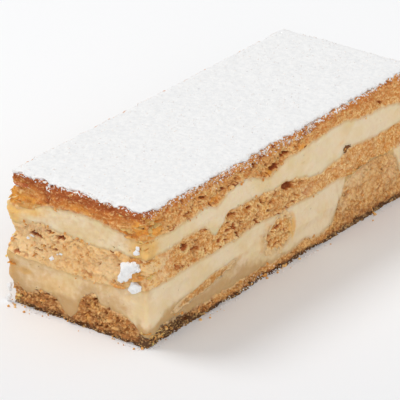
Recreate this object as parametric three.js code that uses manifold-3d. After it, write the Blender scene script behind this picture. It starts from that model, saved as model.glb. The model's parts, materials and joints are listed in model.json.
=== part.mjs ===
// A slice of mille feuille, cut square from a long bar: three sheets of puff pastry with two beds of
// set vanilla cream between them, and a coat of icing sugar on top.
// Millimetres, +Z up. The slice lies along Y with its narrow cut face towards -Y, and rests on z = 0.
// Every layer is one closed solid that runs through the whole slice. Two layers that meet share one
// uneven surface, and each stops half a joint gap short of it.
import * as THREE from "three";
import { mergeVertices } from "three/addons/utils/BufferGeometryUtils.js";
import Module from "manifold-3d";

// ---- driving dimensions ----
const LENGTH = 119; // along Y
const WIDTH = 44; // along X
const HEIGHT = 38.2; // to the top of the sugar
const SUGAR = 0.9; // thickness of the icing sugar in the middle of the slice
const SUGAR_RIM = 0.45; // and where it thins out at the edge
const SUGAR_INSET = 0.7; // how far it stays back from the crust's edge
const JOINT_GAP = 0.3; // clear space between two layers
const CORNER_ROUND = 0.6; // how far each upright corner is worn back
const BODY_AT = [0.3, 0.6, 0]; // brings the middle of the whole, clumps and bulges too, onto Z
const THIN_CREAM = 0.8; // least depth of cream between two sheets of pastry

const HALF_W = WIDTH / 2;
const HALF_L = LENGTH / 2;
const CRUST_TOP = HEIGHT - SUGAR - JOINT_GAP / 2; // half way between the crust and the sugar

// ---- how finely the solids are drawn ----
const CELLS_ACROSS = 18; // columns of facets on each narrow face
const CELLS_ALONG = 43; // and on each long face
const CAP_INSETS = [5]; // rings inside the outline on the meeting surfaces

// ---- crags: the relief of a cut side, in flaky ledges that are longer than they are tall ----
const LEDGE_LENGTH = 5.5; // distance between crags along the side
const LEDGE_HEIGHT = 2.4; // and up it
const SHARED_CRAG = 0.35; // depth of relief where two layers meet
const PASTRY_CRAG = 1.0;
const CREAM_CRAG = 0.3;

const { exp, floor, hypot, imul, max, min, sin, PI } = Math;

// A repeatable number from 0 to 1 for each point of a whole-number lattice.
function lattice(i, j, k, seed) {
  let h = imul(i, 0x27d4eb2d) ^ imul(j, 0x165667b1) ^ imul(k, 0x1b873593) ^ imul(seed, 0x05ebca6b);
  h = imul(h ^ (h >>> 15), 0x2c1b3c6d);
  h = imul(h ^ (h >>> 12), 0x297a2d39);
  return ((h ^ (h >>> 15)) >>> 0) / 4294967296;
}

// Smooth noise from -1 to 1 at a point, with the given distance between its hills.
function noise(x, y, z, size, seed) {
  const at = [x / size, y / size, z / size];
  const cell = at.map(floor);
  const [u, v, w] = at.map((a, n) => {
    const f = a - cell[n];
    return f * f * (3 - 2 * f);
  });
  let sum = 0;
  for (const i of [0, 1])
    for (const j of [0, 1])
      for (const k of [0, 1]) {
        const share = (i ? u : 1 - u) * (j ? v : 1 - v) * (k ? w : 1 - w);
        sum += share * lattice(cell[0] + i, cell[1] + j, cell[2] + k, seed);
      }
  return 2 * sum - 1;
}

// ---- the surfaces where layers meet ----
// A swell raises a surface by rise round the point x, y. wide and long are its reach along X and Y.
// edge says how its flank falls: 2 is a soft mound, and more is a steeper block with a flatter top.
const swell = (x, y, rise, wide, long, edge = 2) => ({ x, y, rise, wide, long, edge });

const BASE_TOP = {
  level: 3.2,
  swells: [
    swell(-11, -58, 3.0, 5.2, 6, 4), // front: blistered pastry left of the middle
    swell(-21, -58, 3.2, 3.6, 5),
    swell(-2.6, -58.5, -2.0, 2.6, 5), // front: cream reaches down to the crust
    swell(3.3, -58.5, 3.1, 3.5, 5, 6), // front: the tall blister
    swell(9.8, -58.5, 4.7, 10, 6, 4),
    swell(21, -58, -1.4, 2.6, 5),
    swell(22, -52.5, 1.3, 6, 3),
    swell(22, -38, -1.3, 6, 8),
    swell(22, 8, 1.2, 6, 4),
    swell(22, 38.4, 13, 6, 14.4, 8), // right: the sheet has puffed up through the cream
    swell(-22, -26, 5.5, 6, 9, 4),
    swell(-22, 22, 8.5, 6, 7, 4),
    swell(-9, 59, 6.5, 7, 6, 4),
    swell(10, 59, 3.5, 6, 6, 4),
  ],
};
const MIDDLE_BOTTOM = {
  level: 16.1,
  swells: [
    swell(-2, -59, -2.3, 19, 6, 4),
    swell(22, -12, 0.9, 7, 7),
    swell(-22, -45, -1.2, 7, 8),
    swell(-22, 5, 1.0, 7, 12),
    swell(4, 59, -1.6, 9, 6),
  ],
};
const MIDDLE_TOP = {
  level: 24.7,
  swells: [
    swell(-11, -59, 0.8, 4.5, 5),
    swell(-2.6, -59, -1.0, 4, 5),
    swell(11, -59, 0.7, 7, 5),
    swell(-20.5, -58, -1.2, 3, 5),
    swell(22, -38, 0.6, 6, 5),
    swell(22, -30.4, -3.5, 6, 3.2), // right: a cleft filled with cream
    swell(22, -17, 0.8, 6, 8),
    swell(22, 14.5, -3.3, 7, 7),
    swell(22, 25, -1.3, 7, 6),
    swell(22, 45, -1.4, 7, 14, 4),
    swell(-22, -34, -1.8, 7, 7),
    swell(-22, 30, -2.6, 7, 9),
    swell(-4, 59, -1.8, 8, 6),
  ],
};
const TOP_BOTTOM = {
  level: 30.4,
  swells: [
    swell(0, -59, 1.8, 9, 6),
    swell(-19.5, -59, -2.3, 5.5, 6),
    swell(19.5, -59, -1.3, 4, 5),
    swell(22, -46, -1.3, 7, 9, 4),
    swell(22, -30, -1.9, 6, 3.4), // right: blobs of pastry hang into the cream
    swell(22, -19.5, 1.4, 6, 5.5),
    swell(22, -7.5, -1.8, 6, 5),
    swell(22, 4, 0.8, 6, 4),
    swell(22, 22, 2.1, 7, 12, 4),
    swell(22, 54, -1.6, 7, 7),
    swell(-22, -16, -1.9, 7, 7),
    swell(-22, 14, 1.4, 7, 10),
    swell(-22, 47, -1.6, 7, 6),
    swell(3, 59, -1.7, 7, 6),
  ],
};

function swellsAt(surface, x, y) {
  let z = surface.level;
  for (const s of surface.swells) {
    const away = (Math.abs(x - s.x) / s.wide) ** s.edge + (Math.abs(y - s.y) / s.long) ** s.edge;
    z += s.rise * exp(-away);
  }
  return z;
}

// Heights of the meeting surfaces, from the floor up. The base never breaks right through the cream.
const SURFACES = [
  () => 0,
  (x, y) => min(swellsAt(BASE_TOP, x, y), swellsAt(MIDDLE_BOTTOM, x, y) - THIN_CREAM),
  (x, y) => swellsAt(MIDDLE_BOTTOM, x, y),
  (x, y) => swellsAt(MIDDLE_TOP, x, y),
  (x, y) => swellsAt(TOP_BOTTOM, x, y),
  () => CRUST_TOP,
];

// ---- bulges and clefts of the upright sides ----
// out is how far the side stands out (or, below 0, in) round the point x, y, z.
const dent = (x, y, z, out, wide, tall) => ({ x, y, z, out, wide, tall });

const SIDE_SHAPE = [
  // the left side near the front: cream and soft pastry squeezed out of the cut
  dent(-22, -59.5, 27, 1.1, 9, 2.6),
  dent(-22, -59.5, 20.5, -0.5, 8, 1.6),
  dent(-22, -57, 14.5, 1.7, 9, 2.8),
  dent(-22, -57, 9, 0.9, 8, 3),
  dent(-22, -59.5, 33.6, -1.6, 6.5, 0.9), // a lifted flake of crust, with a slit below it
  dent(-9.7, -59.5, 37.2, -1.3, 1.7, 1.2), // a nick in the crust's front edge
  dent(22, -59.5, 36.2, -1.1, 2.6, 1.6), // the near corner of the crust is chipped
  dent(22, -59.5, 19.5, 0.7, 3, 2.2), // curled flakes on the near corner
  dent(22, -59.5, 9, -0.5, 3, 4),
  // clefts in the right side
  dent(22, -43.8, 22.8, -1.2, 2.6, 0.8),
  dent(22, -24.2, 24.2, -1.1, 2.4, 0.8),
  dent(22, -17.2, 23.4, -1.0, 1.6, 0.9),
  dent(22, 0.6, 22.9, -1.5, 2.2, 1.0),
  dent(22, 28.3, 24.4, -1.4, 1.7, 0.8),
  dent(22, -5.2, 30.9, -1.5, 2.6, 1.2),
  dent(22, -0.4, 33.3, -1.1, 3.6, 0.6),
  dent(22, -41.5, 31.1, -0.9, 3, 0.6),
  // the far end and the left side
  dent(-22, 8, 21, 0.9, 12, 3),
  dent(-22, 36, 11, 1.1, 9, 4),
  dent(-22, -12, 27.5, 0.8, 9, 2.2),
  dent(-22, -30, 19.5, -1.2, 4, 1.2),
  dent(-22, 24, 34, -1.1, 6, 0.8),
  dent(-6, 59.5, 20, -1.1, 5, 1.2),
  dent(8, 59.5, 27.6, 0.8, 8, 2.2),
  dent(-12, 59.5, 12, 0.8, 7, 3),
];

function sideShape(x, y, z) {
  let out = 0;
  for (const d of SIDE_SHAPE) {
    const level = hypot(x - d.x, y - d.y) / d.wide;
    const upright = (z - d.z) / d.tall;
    out += d.out * exp(-level * level - upright * upright);
  }
  return out;
}

// ---- the outline, as columns round the slice from the front left corner ----
function outlineColumns() {
  const corners = [
    [-1, -1],
    [1, -1],
    [1, 1],
    [-1, 1],
  ];
  const columns = [];
  corners.forEach(([ax, ay], side) => {
    const [bx, by] = corners[(side + 1) % 4];
    const cells = side % 2 ? CELLS_ALONG : CELLS_ACROSS;
    for (let i = 0; i < cells; i++) {
      const t = i / cells;
      let x = HALF_W * (ax + (bx - ax) * t);
      let y = HALF_L * (ay + (by - ay) * t);
      let out = [(by - ay) / 2, (ax - bx) / 2]; // the side's outward direction
      if (i === 0) {
        x -= ax * CORNER_ROUND;
        y -= ay * CORNER_ROUND;
        out = [ax * Math.SQRT1_2, ay * Math.SQRT1_2];
      }
      columns.push({ x, y, out });
    }
  });
  return columns;
}
const COLUMNS = outlineColumns();

// ---- the layers ----
// crag is the depth of the layer's own relief, belly how far its side swells out between the layers
// that hold it, and rows how many rows of facets its side has.
const LAYERS = [
  { name: "base_pastry", crag: PASTRY_CRAG, belly: 0, rows: 5, colour: "#a9743f", rough: 0.85 },
  { name: "lower_cream", crag: CREAM_CRAG, belly: 0.25, rows: 4, colour: "#e3c892", rough: 0.5 },
  { name: "middle_pastry", crag: PASTRY_CRAG, belly: 0, rows: 8, colour: "#cf9454", rough: 0.85 },
  { name: "upper_cream", crag: CREAM_CRAG, belly: 0.25, rows: 4, colour: "#e6cd9a", rough: 0.5 },
  { name: "top_pastry", crag: PASTRY_CRAG, belly: 0, rows: 7, colour: "#b9743a", rough: 0.8 },
];

// The point of a column at a share t of the way up a layer's side.
// Its relief is worked out on the shared surfaces, so that layers that meet have the same rim.
function sidePoint(column, layer, t) {
  const { x, y, out } = column;
  const { lower, upper } = layer;
  const lift = max(0, sin(PI * t)) ** 0.5;
  const guess = layer.floorOf(x, y) * (1 - t) + layer.roofOf(x, y) * t;
  const depth = SHARED_CRAG + (layer.crag - SHARED_CRAG) * lift;
  const crag = depth * noise(x, y, (guess * LEDGE_LENGTH) / LEDGE_HEIGHT, LEDGE_LENGTH, 7);
  const stand = sideShape(x, y, guess) + crag + layer.belly * lift;
  const px = x + out[0] * stand;
  const py = y + out[1] * stand;
  return [px, py, lower(px, py) * (1 - t) + upper(px, py) * t];
}

// A ring of points inside the outline, at a height given by a surface.
function ringPoints(inset, surface) {
  const sx = (HALF_W - inset) / HALF_W;
  const sy = (HALF_L - inset) / HALF_L;
  return COLUMNS.map(({ x, y }) => [x * sx, y * sy, surface(x * sx, y * sy)]);
}

// The closed solid with a side of stacked rings, bottom first. under and over are the rings of its
// bottom and top surfaces, outermost first, and the last of each is filled in flat. Two surfaces
// that face each other get the same facets, so they stay the same distance apart.
function solidOfRings(under, side, over) {
  const count = side[0].length;
  const rings = [...[...under].reverse(), ...side, ...over];
  const faces = [];
  const join = (ring, parity) => {
    for (let c = 0; c < count; c++) {
      const next = (c + 1) % count;
      const [a, b] = [ring * count + c, ring * count + next];
      const [d, e] = [a + count, b + count];
      if ((parity + c) % 2) faces.push(a, b, e, a, e, d);
      else faces.push(a, b, d, b, e, d);
    }
  };
  for (let r = 0; r < under.length; r++) join(r, under.length - r);
  for (let r = under.length; r < rings.length - 1 - over.length; r++) join(r, r);
  over.forEach((_, k) => join(rings.length - 1 - over.length + k, k));
  const fill = (ring, start, up) => {
    const flat = ring.map(([x, y]) => new THREE.Vector2(x, y));
    for (const [a, b, c] of THREE.ShapeUtils.triangulateShape(flat, []))
      faces.push(start + a, start + (up ? b : c), start + (up ? c : b));
  };
  fill(rings[0], 0, false);
  fill(rings[rings.length - 1], (rings.length - 1) * count, true);
  const geometry = new THREE.BufferGeometry();
  geometry.setAttribute("position", new THREE.Float32BufferAttribute(rings.flat(2), 3));
  geometry.setIndex(faces);
  geometry.computeVertexNormals();
  return geometry;
}

function layerGeometry(layer, index) {
  const [floorOf, roofOf] = [SURFACES[index], SURFACES[index + 1]];
  const lower = (x, y) => floorOf(x, y) + (index ? JOINT_GAP / 2 : 0);
  const upper = (x, y) => roofOf(x, y) - JOINT_GAP / 2;
  const shape = { ...layer, floorOf, roofOf, lower, upper };
  const side = [];
  for (let r = 0; r <= layer.rows; r++)
    side.push(COLUMNS.map((column) => sidePoint(column, shape, r / layer.rows)));
  const under = index ? CAP_INSETS.map((inset) => ringPoints(inset, lower)) : [];
  const over = CAP_INSETS.map((inset) => ringPoints(inset, upper));
  return solidOfRings(under, side, over);
}

// ---- the icing sugar: a soft sheet with a ragged edge that stays just inside the crust ----
const SUGAR_INSETS = [1.6, 5, 12]; // rings where it reaches its full thickness step by step
const RAGGED_SPAN = 3.1; // distance between the tongues of its edge
const RAGGED_DEPTH = 0.45;

function sugarGeometry() {
  const under = () => CRUST_TOP + JOINT_GAP / 2;
  const edge = COLUMNS.map(({ x, y, out }) => {
    const tongues = RAGGED_DEPTH * noise(x, y, 0, RAGGED_SPAN, 11);
    const ragged = tongues + min(0, sideShape(x, y, CRUST_TOP));
    const stand = ragged - SUGAR_INSET;
    return [x + out[0] * stand, y + out[1] * stand];
  });
  const rim = (lift) => edge.map(([x, y]) => [x, y, under() + lift]);
  const top = SUGAR_INSETS.map((inset, n) => {
    const share = (n + 1) / SUGAR_INSETS.length;
    const thick = SUGAR_RIM + (SUGAR - SUGAR_RIM) * sin((PI / 2) * share);
    return ringPoints(SUGAR_INSET + inset, () => under() + thick);
  });
  const bottom = CAP_INSETS.map((inset) => ringPoints(SUGAR_INSET + inset, under));
  return solidOfRings(bottom, [rim(0), rim(SUGAR_RIM)], top);
}

// ---- pieces that lie in the cream or stick to the cut face ----
// A lump is a ball of the given radii, turned and made craggy. cut is how far it may reach along X
// from its middle, where the knife that cut the slice went through it.
function lumpGeometry({ radii, crag, seed, detail, cut = Infinity }) {
  const ball = new THREE.IcosahedronGeometry(1, detail);
  ball.deleteAttribute("normal");
  ball.deleteAttribute("uv");
  const geometry = mergeVertices(ball);
  const p = geometry.getAttribute("position");
  for (let i = 0; i < p.count; i++) {
    const [x, y, z] = [p.getX(i), p.getY(i), p.getZ(i)];
    const swollen = 1 + crag * noise(3 * x, 3 * y, 3 * z, 1.7, seed);
    const across = min(cut, x * radii[0] * swollen);
    p.setXYZ(i, across, y * radii[1] * swollen, z * radii[2] * swollen);
  }
  geometry.computeVertexNormals();
  return geometry;
}

const LUMPS = [
  // a block of pastry that broke off into the lower cream, open at the right side
  {
    name: "side_crumb_block",
    at: [21.9, -3.3, 10.7],
    turn: [0.1, 0, 0],
    radii: [3.2, 6.2, 4.5],
    crag: 0.14,
    seed: 21,
    detail: 3,
    cut: 0.65,
    colour: "#c58a4e",
    rough: 0.85,
    clearOf: ["lower_cream"],
  },
  // a thin flake that slants up through the lower cream
  {
    name: "side_flake",
    at: [21.9, -35.5, 8.4],
    turn: [0.135, 0, 0],
    radii: [2.4, 14.6, 1.2],
    crag: 0.12,
    seed: 5,
    detail: 3,
    cut: 0.6,
    colour: "#cf9058",
    rough: 0.8,
    clearOf: ["lower_cream"],
  },
  // two clumps of icing sugar stuck to the front face by the near corner
  {
    name: "sugar_clump_large",
    at: [16.9, -60.5, 20.6],
    turn: [0, 0.72, 0],
    radii: [2.0, 1.3, 4.4],
    crag: 0.24,
    seed: 9,
    detail: 3,
    colour: "#f4efe8",
    rough: 0.95,
    clearOf: ["middle_pastry"],
  },
  {
    name: "sugar_clump_small",
    at: [19.2, -60.5, 16.6],
    turn: [0, -0.4, 0],
    radii: [1.9, 1.3, 1.5],
    crag: 0.2,
    seed: 14,
    detail: 2,
    colour: "#f4efe8",
    rough: 0.95,
    clearOf: ["middle_pastry", "lower_cream"],
  },
];

const wasm = await Module();
wasm.setup();

// A closed geometry as a solid that can be cut.
function solid(geometry) {
  const bare = geometry.index ? geometry.toNonIndexed() : geometry.clone();
  const merged = mergeVertices(
    new THREE.BufferGeometry().setAttribute("position", bare.getAttribute("position")),
  );
  return new wasm.Manifold(
    new wasm.Mesh({
      numProp: 3,
      vertProperties: merged.getAttribute("position").array,
      triVerts: new Uint32Array(merged.index.array),
    }),
  );
}

function geometryOf(manifold) {
  const mesh = manifold.getMesh();
  const position = new Float32Array(mesh.numVert * 3);
  for (let i = 0; i < mesh.numVert; i++)
    position.set(mesh.vertProperties.subarray(i * mesh.numProp, i * mesh.numProp + 3), i * 3);
  const geometry = new THREE.BufferGeometry();
  geometry.setAttribute("position", new THREE.BufferAttribute(position, 3));
  geometry.setIndex(new THREE.BufferAttribute(mesh.triVerts, 1));
  geometry.computeVertexNormals();
  return geometry;
}

// The lump in place, grown on every side by the joint gap, to cut its pocket with.
function pocketOf(lump) {
  const radii = lump.radii.map((r) => r + JOINT_GAP / (1 - lump.crag));
  const geometry = lumpGeometry({ ...lump, radii, cut: Infinity });
  const turned = new THREE.Euler(...lump.turn);
  geometry.applyMatrix4(new THREE.Matrix4().makeRotationFromEuler(turned));
  geometry.translate(...lump.at);
  return solid(geometry);
}

function meshOf(name, geometry, colour, rough) {
  const material = new THREE.MeshStandardMaterial({ color: colour, roughness: rough, metalness: 0 });
  const mesh = new THREE.Mesh(geometry, material);
  mesh.name = name;
  return mesh;
}

const slice = new THREE.Group();
slice.position.set(...BODY_AT);
LAYERS.forEach((layer, index) => {
  const pockets = LUMPS.filter((lump) => lump.clearOf.includes(layer.name));
  let geometry = layerGeometry(layer, index);
  if (pockets.length) {
    const cut = pockets.reduce((left, lump) => left.subtract(pocketOf(lump)), solid(geometry));
    geometry = geometryOf(cut);
  }
  slice.add(meshOf(layer.name, geometry, layer.colour, layer.rough));
});
slice.add(meshOf("icing_sugar", sugarGeometry(), "#f7f6f3", 0.95));
for (const lump of LUMPS) {
  const mesh = meshOf(lump.name, lumpGeometry(lump), lump.colour, lump.rough);
  mesh.position.set(...lump.at);
  mesh.rotation.set(...lump.turn);
  slice.add(mesh);
}

export default slice;
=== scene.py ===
import itertools
import json
import math
from collections import namedtuple

import bmesh
import bpy
import numpy as np
from mathutils import Matrix, Vector

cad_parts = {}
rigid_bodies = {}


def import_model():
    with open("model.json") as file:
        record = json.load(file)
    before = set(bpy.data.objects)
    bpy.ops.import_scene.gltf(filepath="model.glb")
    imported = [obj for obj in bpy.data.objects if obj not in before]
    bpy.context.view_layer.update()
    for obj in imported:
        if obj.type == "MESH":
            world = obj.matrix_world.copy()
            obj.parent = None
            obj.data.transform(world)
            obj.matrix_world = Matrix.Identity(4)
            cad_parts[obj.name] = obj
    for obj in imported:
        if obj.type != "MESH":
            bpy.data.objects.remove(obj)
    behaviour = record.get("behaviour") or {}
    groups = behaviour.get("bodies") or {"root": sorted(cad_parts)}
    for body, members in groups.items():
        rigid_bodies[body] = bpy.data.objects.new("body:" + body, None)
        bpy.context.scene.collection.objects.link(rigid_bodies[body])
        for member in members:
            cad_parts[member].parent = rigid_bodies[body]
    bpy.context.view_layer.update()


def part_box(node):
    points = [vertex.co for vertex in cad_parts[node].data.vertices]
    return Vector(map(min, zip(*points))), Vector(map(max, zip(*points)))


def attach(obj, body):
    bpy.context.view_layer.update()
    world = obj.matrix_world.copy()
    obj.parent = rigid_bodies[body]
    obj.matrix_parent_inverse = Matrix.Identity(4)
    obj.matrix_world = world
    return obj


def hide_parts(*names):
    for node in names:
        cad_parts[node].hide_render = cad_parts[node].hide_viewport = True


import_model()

# A slice of mille feuille: three sheets of puff pastry, two beds of set vanilla cream and a coat of
# icing sugar. Shapes are worked out in millimetres, in the slice's own frame: X across it, Y along
# it away from the cut front, Z up. place() moves them to the solids' frame, in metres.

MM = 0.001
WIDTH = 44.0
LENGTH = 119.0
HALF_W = WIDTH / 2
HALF_L = LENGTH / 2
BODY_AT = np.array([0.3, 0.6, 0.0])  # where the solids put the middle of the slice's body
CRUST_TOP = (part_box("top_pastry")[1].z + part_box("icing_sugar")[0].z) / 2 / MM
SUGAR_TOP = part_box("icing_sugar")[1].z / MM
CORNER_ROUND = 1.1  # radius of the upright corners
THIN_CREAM = 0.06  # least depth of cream between two sheets of pastry: hardly seen
THIN_BASE = 1.0  # least thickness of the bottom sheet
BLISTER = 1.0  # how far blisters stand out of its flanks
JOINT = 0.02  # clear space between two layers

COLUMNS = 1600  # columns of facets round the slice: one every fifth of a millimetre
CAP_STEP = 8  # of those, one in eight goes on over the hidden tops and bottoms
CAP_INSET = 4.0  # how far in from the side these columns end

LEDGE_LENGTH = 5.5  # distance between the crags of a cut side, along it
LEDGE_HEIGHT = 2.4  # and up it
SHARED_CRAG = 0.35  # how far crags stand out where two layers meet
PASTRY_CRAG = 1.0  # and in the middle of each
CREAM_CRAG = 0.3
CREAM_BELLY = 0.25  # how far a thick bed of cream bulges out
LUMP_RIM = 0.1  # how far cream rises round a lump
LUMP_ROOM = 1.3  # and how far it gives way under it
AT_SIDE = 0.95  # what lies further out than this share of the half width or length is a side
LEAST_RELIEF = 0.12  # the share of its relief that a side keeps where two layers meet

# ---------------------------------------------------------------- noise


def lattice(cell, seed):
    """A repeatable number from 0 to 1 for each point of a whole-number lattice."""
    i, j, k = ((cell[..., n].astype(np.int64) & 0xFFFFFFFF).astype(np.uint32) for n in range(3))
    h = i * np.uint32(0x27D4EB2D) ^ j * np.uint32(0x165667B1) ^ k * np.uint32(0x1B873593)
    h = h ^ np.uint32(seed * 0x05EBCA6B & 0xFFFFFFFF)
    h = (h ^ (h >> np.uint32(15))) * np.uint32(0x2C1B3C6D)
    h = (h ^ (h >> np.uint32(12))) * np.uint32(0x297A2D39)
    return (h ^ (h >> np.uint32(15))) / 4294967296.0


def noise(points, size, seed):
    """Smooth noise from -1 to 1, with hills the given distance apart."""
    spot = points / size
    cell = np.floor(spot)
    blend = spot - cell
    blend = blend * blend * (3 - 2 * blend)
    total = 0.0
    for corner in itertools.product((0, 1), repeat=3):
        share = np.prod(np.where(corner, blend, 1 - blend), axis=-1)
        total = total + share * lattice(cell + corner, seed)
    return 2 * total - 1


def at(x, y, z=0.0):
    """Points from three arrays that broadcast together."""
    return np.stack(np.broadcast_arrays(x, y, z), axis=-1).astype(float)


def ease(value, low, high):
    """A soft step from 0 at low to 1 at high."""
    t = np.clip((value - low) / (high - low), 0, 1)
    return t * t * (3 - 2 * t)


def near_front(points, reach=5):
    """1 on the cut front, and 0 at a reach behind it."""
    return ease(points[:, 1], -HALF_L + reach, -HALF_L + 1)


def near_right(x):
    """1 on the right side, and 0 well inside it."""
    return ease(x, HALF_W - 4, HALF_W - 2)


def at_side(points):
    """Whether points are on a cut side, and not on a hidden top or bottom of a layer."""
    return np.maximum(np.abs(points[:, 0]) / HALF_W, np.abs(points[:, 1]) / HALF_L) > AT_SIDE


# ---------------------------------------------------------------- where the layers meet

# A swell raises a surface by rise round x, y. wide and long are its reach along X and Y, and edge
# says how its flank falls: 2 is a soft mound, and more is a block with a flatter top.
Swell = namedtuple("Swell", "x y rise wide long edge", defaults=(2,))

BASE_TOP = (
    3.2,
    Swell(-11, -58, 3.0, 5.2, 6, 4),  # front: blistered pastry left of the middle
    Swell(-21, -58, 3.2, 3.6, 5),
    Swell(-2.6, -58.5, -2.0, 2.6, 5),  # front: cream reaches down to the crust
    Swell(3.3, -58.5, 3.1, 3.5, 5, 6),  # front: the tall blister
    Swell(9.8, -58.5, 4.7, 10, 6, 4),
    Swell(21, -58, -1.4, 2.6, 5),
    Swell(22, -51, 1.4, 6, 5),
    Swell(22, -34, 0.5, 6, 10),
    Swell(22, -10, 0.5, 6, 12),
    Swell(22, 8, 1.2, 6, 4),
    Swell(22, 39, 13, 6, 15.4, 5),  # right: the sheet has puffed up through the cream
    Swell(-22, -26, 5.5, 6, 9, 4),
    Swell(-22, 22, 8.5, 6, 7, 4),
    Swell(-9, 59, 6.5, 7, 6, 4),
    Swell(10, 59, 3.5, 6, 6, 4),
)
MIDDLE_BOTTOM = (
    16.1,
    Swell(-2, -59, -2.3, 19, 6, 4),
    Swell(22, -12, 0.9, 7, 7),
    Swell(22, 31, -0.9, 5, 3),
    Swell(22, 39.5, 0.8, 5, 3.5),
    Swell(22, 47, -0.6, 5, 3),
    Swell(-22, -45, -1.2, 7, 8),
    Swell(-22, 5, 1.0, 7, 12),
    Swell(4, 59, -1.6, 9, 6),
)
MIDDLE_TOP = (
    24.35,
    Swell(-11, -59, 1.0, 4.5, 5),
    Swell(0, -59, -0.4, 5, 5),
    Swell(13, -59, 0.4, 5, 5),
    Swell(-20.5, -58, -1.2, 3, 5),
    Swell(22, -38, 0.6, 6, 5),
    Swell(22, -30.4, -3.5, 6, 3.2),  # right: a cleft filled with cream
    Swell(22, -17, 0.8, 6, 8),
    Swell(22, 3, -0.3, 6, 4),
    Swell(22, 14.5, -3.0, 7, 7),
    Swell(22, 25, -1.3, 7, 6),
    Swell(22, 45, -1.5, 7, 14, 4),
    Swell(-22, -34, -1.8, 7, 7),
    Swell(-22, 30, -2.6, 7, 9),
    Swell(-4, 59, -1.8, 8, 6),
)
TOP_BOTTOM = (
    30.4,
    Swell(1, -59, 1.35, 9, 6),
    Swell(-19.5, -59, -2.3, 5.5, 6),
    Swell(19.5, -59, -1.3, 4, 5),
    Swell(22, -46, -1.3, 7, 9, 4),
    Swell(22, -30, -1.9, 6, 3.4),  # right: blobs of pastry hang into the cream
    Swell(22, -19.5, 1.4, 6, 5.5),
    Swell(22, -7.5, -1.8, 6, 5),
    Swell(22, 4, 0.8, 6, 4),
    Swell(22, 21, 1.8, 7, 12, 4),
    Swell(22, 54, -1.6, 7, 7),
    Swell(-22, -16, -1.9, 7, 7),
    Swell(-22, 14, 1.4, 7, 10),
    Swell(-22, 47, -1.6, 7, 6),
    Swell(3, 59, -1.7, 7, 6),
)


def swells_at(surface, x, y):
    """The height of a surface, given as its level and its swells."""
    level, *swells = surface
    z = level + 0 * x
    for s in swells:
        away = np.abs((x - s.x) / s.wide) ** s.edge + np.abs((y - s.y) / s.long) ** s.edge
        z = z + s.rise * np.exp(-away)
    return z


def ragged(x, y, seed):
    """How far the line between two layers wanders, where crumbs stick out into the cream."""
    return 0.32 * noise(at(x, y), 2.3, seed) + 0.24 * noise(at(x, y), 0.9, seed + 1)


# The heights at x, y of the surfaces that part the layers, from the floor up.


def under_base(x, y):
    return 0 * x


def on_base(x, y):
    top = swells_at(BASE_TOP, x, y)
    # where the sheet has puffed up on the right side, its flanks are blistered
    flank = ease(top, 4.5, 6.5) * ease(top, 15.5, 12.5) * near_right(x)
    top = top + 1.4 * ragged(x, y, 31) + BLISTER * flank * noise(at(x, y), 1.1, 41)
    return np.clip(top, THIN_BASE, swells_at(MIDDLE_BOTTOM, x, y) - THIN_CREAM)


def under_middle(x, y):
    return swells_at(MIDDLE_BOTTOM, x, y) + 0.9 * ragged(x, y, 33)


def on_middle(x, y):
    return swells_at(MIDDLE_TOP, x, y) + 1.1 * ragged(x, y, 35)


def under_top(x, y):
    return swells_at(TOP_BOTTOM, x, y) + 0.9 * ragged(x, y, 37)


def creamy(points, floor_of, roof_of):
    """1 where a bed of cream lies between two surfaces, and 0 where they meet."""
    x, y = points[:, 0], points[:, 1]
    return ease(roof_of(x, y) - floor_of(x, y), 0.3, 1.6)


def near_line(points, line, reach, way=1):
    """1 on a line between two layers and beyond it, and 0 at a reach from it, softened along the
    side. The way is 1 for a point above the line and -1 for one below it."""
    x, y, z = points.T
    on_end = np.abs(y) > HALF_L - 3
    shifts = (-2.2, -1.4, -0.6, 0.0, 0.6, 1.4, 2.2)
    gaps = [way * (z - line(x + d * on_end, y + d * ~on_end)) for d in shifts]
    return np.mean([ease(gap, reach, 0.0) for gap in gaps], axis=0)


NICK = Swell(-9.4, -HALF_L, 2.2, 1.1, 1.4)


def nick(x, y):
    """How far the crust and its sugar dip where a piece has broken off the front edge."""
    return swells_at((0.0, NICK), x, y)


def on_top(x, y):
    return CRUST_TOP + 0.35 * noise(at(x, y), 1.7, 39) + 0.2 * noise(at(x, y), 0.6, 40) - nick(x, y)


# ---------------------------------------------------------------- the cut sides

# A dent moves a side out (or, below 0, in) round a point. wide is its reach level, tall upright.
Dent = namedtuple("Dent", "x y z out wide tall")

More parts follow.
